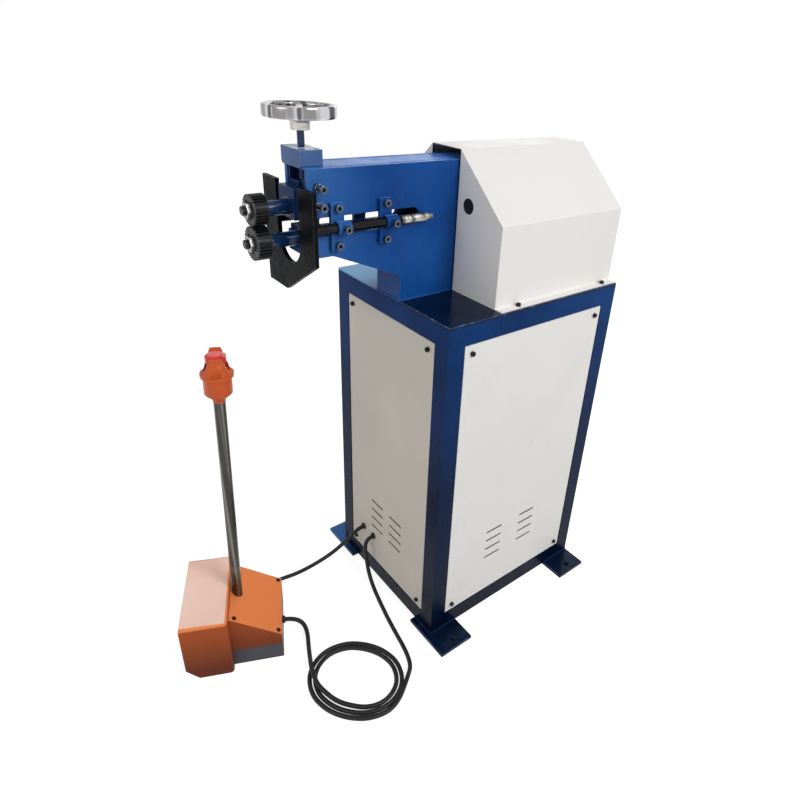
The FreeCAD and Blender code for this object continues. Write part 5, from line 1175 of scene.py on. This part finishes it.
def build_hood():
    """One folded sheet with rounded bends, closed by a front and a rear sheet welded in."""
    end_inset = 1.3
    end_half = 170.6
    notch_half = 43
    notch_top = 1075.5
    bottom = cabinet_height
    lines = (hood_line(0, 2.4), hood_line(hood_wall, 1))
    bm = bmesh.new()
    near, far = [[[bm.verts.new((x, y, z)) for x, z in line] for line in lines] for y in (hood_front, rear_y)]
    count = len(lines[0])
    for k in range(count - 1):
        n = k + 1
        bm.faces.new((near[0][k], near[0][n], far[0][n], far[0][k]))
        bm.faces.new((near[1][k], far[1][k], far[1][n], near[1][n]))
        for end in (near, far):
            bm.faces.new((end[0][k], end[0][n], end[1][n], end[1][k]))
    for k in (0, count - 1):
        bm.faces.new((near[0][k], far[0][k], far[1][k], near[1][k]))
    top = hood_profile(end_inset)
    rear_sheet = [(-end_half, bottom), (end_half, bottom)] + top
    front_sheet_outline = [
        (-end_half, bottom), (-notch_half, bottom), (-notch_half, notch_top), (notch_half, notch_top),
        (notch_half, bottom), (end_half, bottom)] + top
    hole = circle(*hood_hole, hood_hole_radius, 48)
    front = axes((0, hood_front + hood_wall, 0), (0, -1, 0))
    add_slab(bm, front_sheet_outline, [hole], hood_wall, front, edge=0.35)
    add_slab(bm, rear_sheet, [], hood_wall, along_y(0, rear_y - hood_wall, 0), edge=0.35)
    piece("gear_hood_sheet", bm, "machine", white_sheet, "hood", smooth=40)
    bm = bmesh.new()
    r = hood_hole_radius
    plug = [
        (0, -4), (r - 0.3, -4), (r - 0.3, -0.9), (r - 0.8, -0.6), (r - 2, -0.8), (r * 0.5, -1.5),
        (0, -1.7)]
    add_lathe(bm, plug, axes((hood_hole[0], hood_front + 0.4, hood_hole[1]), (0, -1, 0)), 48)
    piece("hood_hole_plug", bm, "machine", black_plastic)


# Foot switch
def build_treadle_spring():
    """The spring, which stands on the tray, as a piece with a mesh of its own."""
    bm = cad_copy("treadle_spring")
    coil = piece("treadle_spring_coil", bm, "machine", steel, "treadle_spring")
    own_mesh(coil)


def build_pedal():
    eased("pedal_top_lid", "pedal_lid", 1.2, orange, shortest=30)
    eased("pedal_tray", "pedal_base", 0.8, base_grey, shortest=24)
    eased("pedal_treadle", "treadle", 1, black_plastic, shortest=24)
    eased("pedal_housing", "pedal_hood", 0.9, orange, shortest=60, corner=8)
    dress(black_plastic, "pedal_switch")
    dress(steel, "treadle_pin")
    build_treadle_spring()


def build_pole():
    eased("stop_shroud", "stop_cup", 0.5, orange_plastic, shortest=20)
    dress(pole_metal, "pole")
    dress(black_plastic, "stop_stem")
    dress(red_plastic, "stop_button")


def build_drive():
    dress(steel, "rear_bearing_plate", "lower_rear_bearing", "upper_rear_bearing", "lower_gear", "upper_gear",
          "reducer_output_shaft", "motor_rotor")
    dress(cast_alloy, "coupling_halves", "reducer_housing")
    dress(spider_rubber, "coupling_spider")
    dress(oxide, "reducer_stand")
    dress(cast_grey, "motor_housing")
    dress(black_plastic, "control_box")


build_cabinet()
build_panels()
build_cover_screws()
build_glands()
build_arm()
build_slide()
build_socket_screws()
build_handwheel()
build_rollers()
build_shafts()
build_gauge_plate()
build_gauge_rods()
build_gauge_clamps()
build_hood()
build_pedal()
build_pole()
build_drive()
for cord in (stop_cord, pedal_cord):
    cord.data.materials.append(cord_rubber)


# Stage: pale floor, soft studio light
def area_light(name, place, aim, power):
    data = bpy.data.lights.new(name, "AREA")
    data.shape = "DISK"
    data.size = 1.6
    data.energy = power
    lamp = add_object(name, data)
    direction = Vector(aim) - Vector(place)
    lamp.matrix_world = Matrix.Translation(place) @ direction.to_track_quat("-Z", "Y").to_matrix().to_4x4()


def seen_directly(tree):
    """1 for camera, glossy and transmission rays, 0 for the light that falls on the object."""
    ray = tree.nodes.new("ShaderNodeLightPath").outputs
    glossy = node_math(tree, "MAXIMUM", ray["Is Glossy Ray"], ray["Is Transmission Ray"])
    return node_math(tree, "MAXIMUM", ray["Is Camera Ray"], glossy)


def open_floor(tree):
    """0 on the floor under the cabinet and its feet, where no backdrop light arrives, and 1 elsewhere."""
    inside = 3
    half_x = foot_length / 2
    half_y = foot_width / 2
    covers = [(0, middle_y, half_width, (rear_y - front_y) / 2)]
    for x in (half_x - foot_outer_x, foot_outer_x - half_x):
        for y in (half_y - foot_outer_y, foot_outer_y - half_y):
            covers.append((x, y, half_x, half_y))
    place = add_node(tree, "NewGeometry").outputs["Position"]
    total = 1
    for x, y, reach_x, reach_y in covers:
        past = []
        for axis, middle, reach in ((0, x, reach_x), (1, y, reach_y)):
            off = node_math(tree, "SUBTRACT", part_along(tree, place, axis), middle * MM)
            off = node_math(tree, "ABSOLUTE", off, 0)
            past.append(node_math(tree, "GREATER_THAN", off, (reach - inside) * MM))
        total = node_math(tree, "MULTIPLY", node_math(tree, "MAXIMUM", *past), total)
    return total


def between(tree, value, low, high):
    return add_node(tree, "MapRange", {"Value": value, "To Min": low, "To Max": high}).outputs["Result"]


def build_floor():
    """Wide floor that looks as white as the backdrop and still takes the object's shadow; under the cabinet its
    own colour is darkened as painted shade.
    """
    bm = bmesh.new()
    bmesh.ops.create_grid(bm, x_segments=1, y_segments=1, size=30)
    mesh = bpy.data.meshes.new("floor")
    bm.to_mesh(mesh)
    bm.free()
    floor = add_object("floor", mesh)
    pale = bpy.data.materials.new("pale_floor")
    tree = node_tree(pale)
    shader = tree.nodes["Principled BSDF"].inputs
    shader["Roughness"].default_value = 1
    shader["Specular IOR Level"].default_value = 0
    shader["Emission Color"].default_value = (1, 1, 1, 1)
    uncovered = open_floor(tree)
    # Painted shade: the floor's colour is nearly black under the cabinet and its feet.
    tree.links.new(between(tree, uncovered, 0.04, 0.5), shader["Base Color"])
    glow = node_math(tree, "MULTIPLY", seen_directly(tree), uncovered)
    tree.links.new(node_math(tree, "MULTIPLY", glow, 0.8), shader["Emission Strength"])
    floor.data.materials.append(pale)


def build_world():
    """White where it is seen, dimmer as the light that falls on the object."""
    world = bpy.data.worlds.new("studio")
    bpy.context.scene.world = world
    tree = node_tree(world)
    background = tree.nodes["Background"].inputs
    background["Color"].default_value = (1, 1, 1, 1)
    tree.links.new(between(tree, seen_directly(tree), 0.42, 1), background["Strength"])


build_floor()
build_world()
area_light("key", (2.8, 0.3, 2.6), (0, 0, 0.6), 58)
area_light("fill", (0.4, -3, 1.8), (0, 0, 0.6), 18)
area_light("rim", (-1.8, 2, 2.4), (0, 0, 0.7), 14)
bpy.context.scene.view_settings.view_transform = "Standard"

bpy.context.view_layer.update()
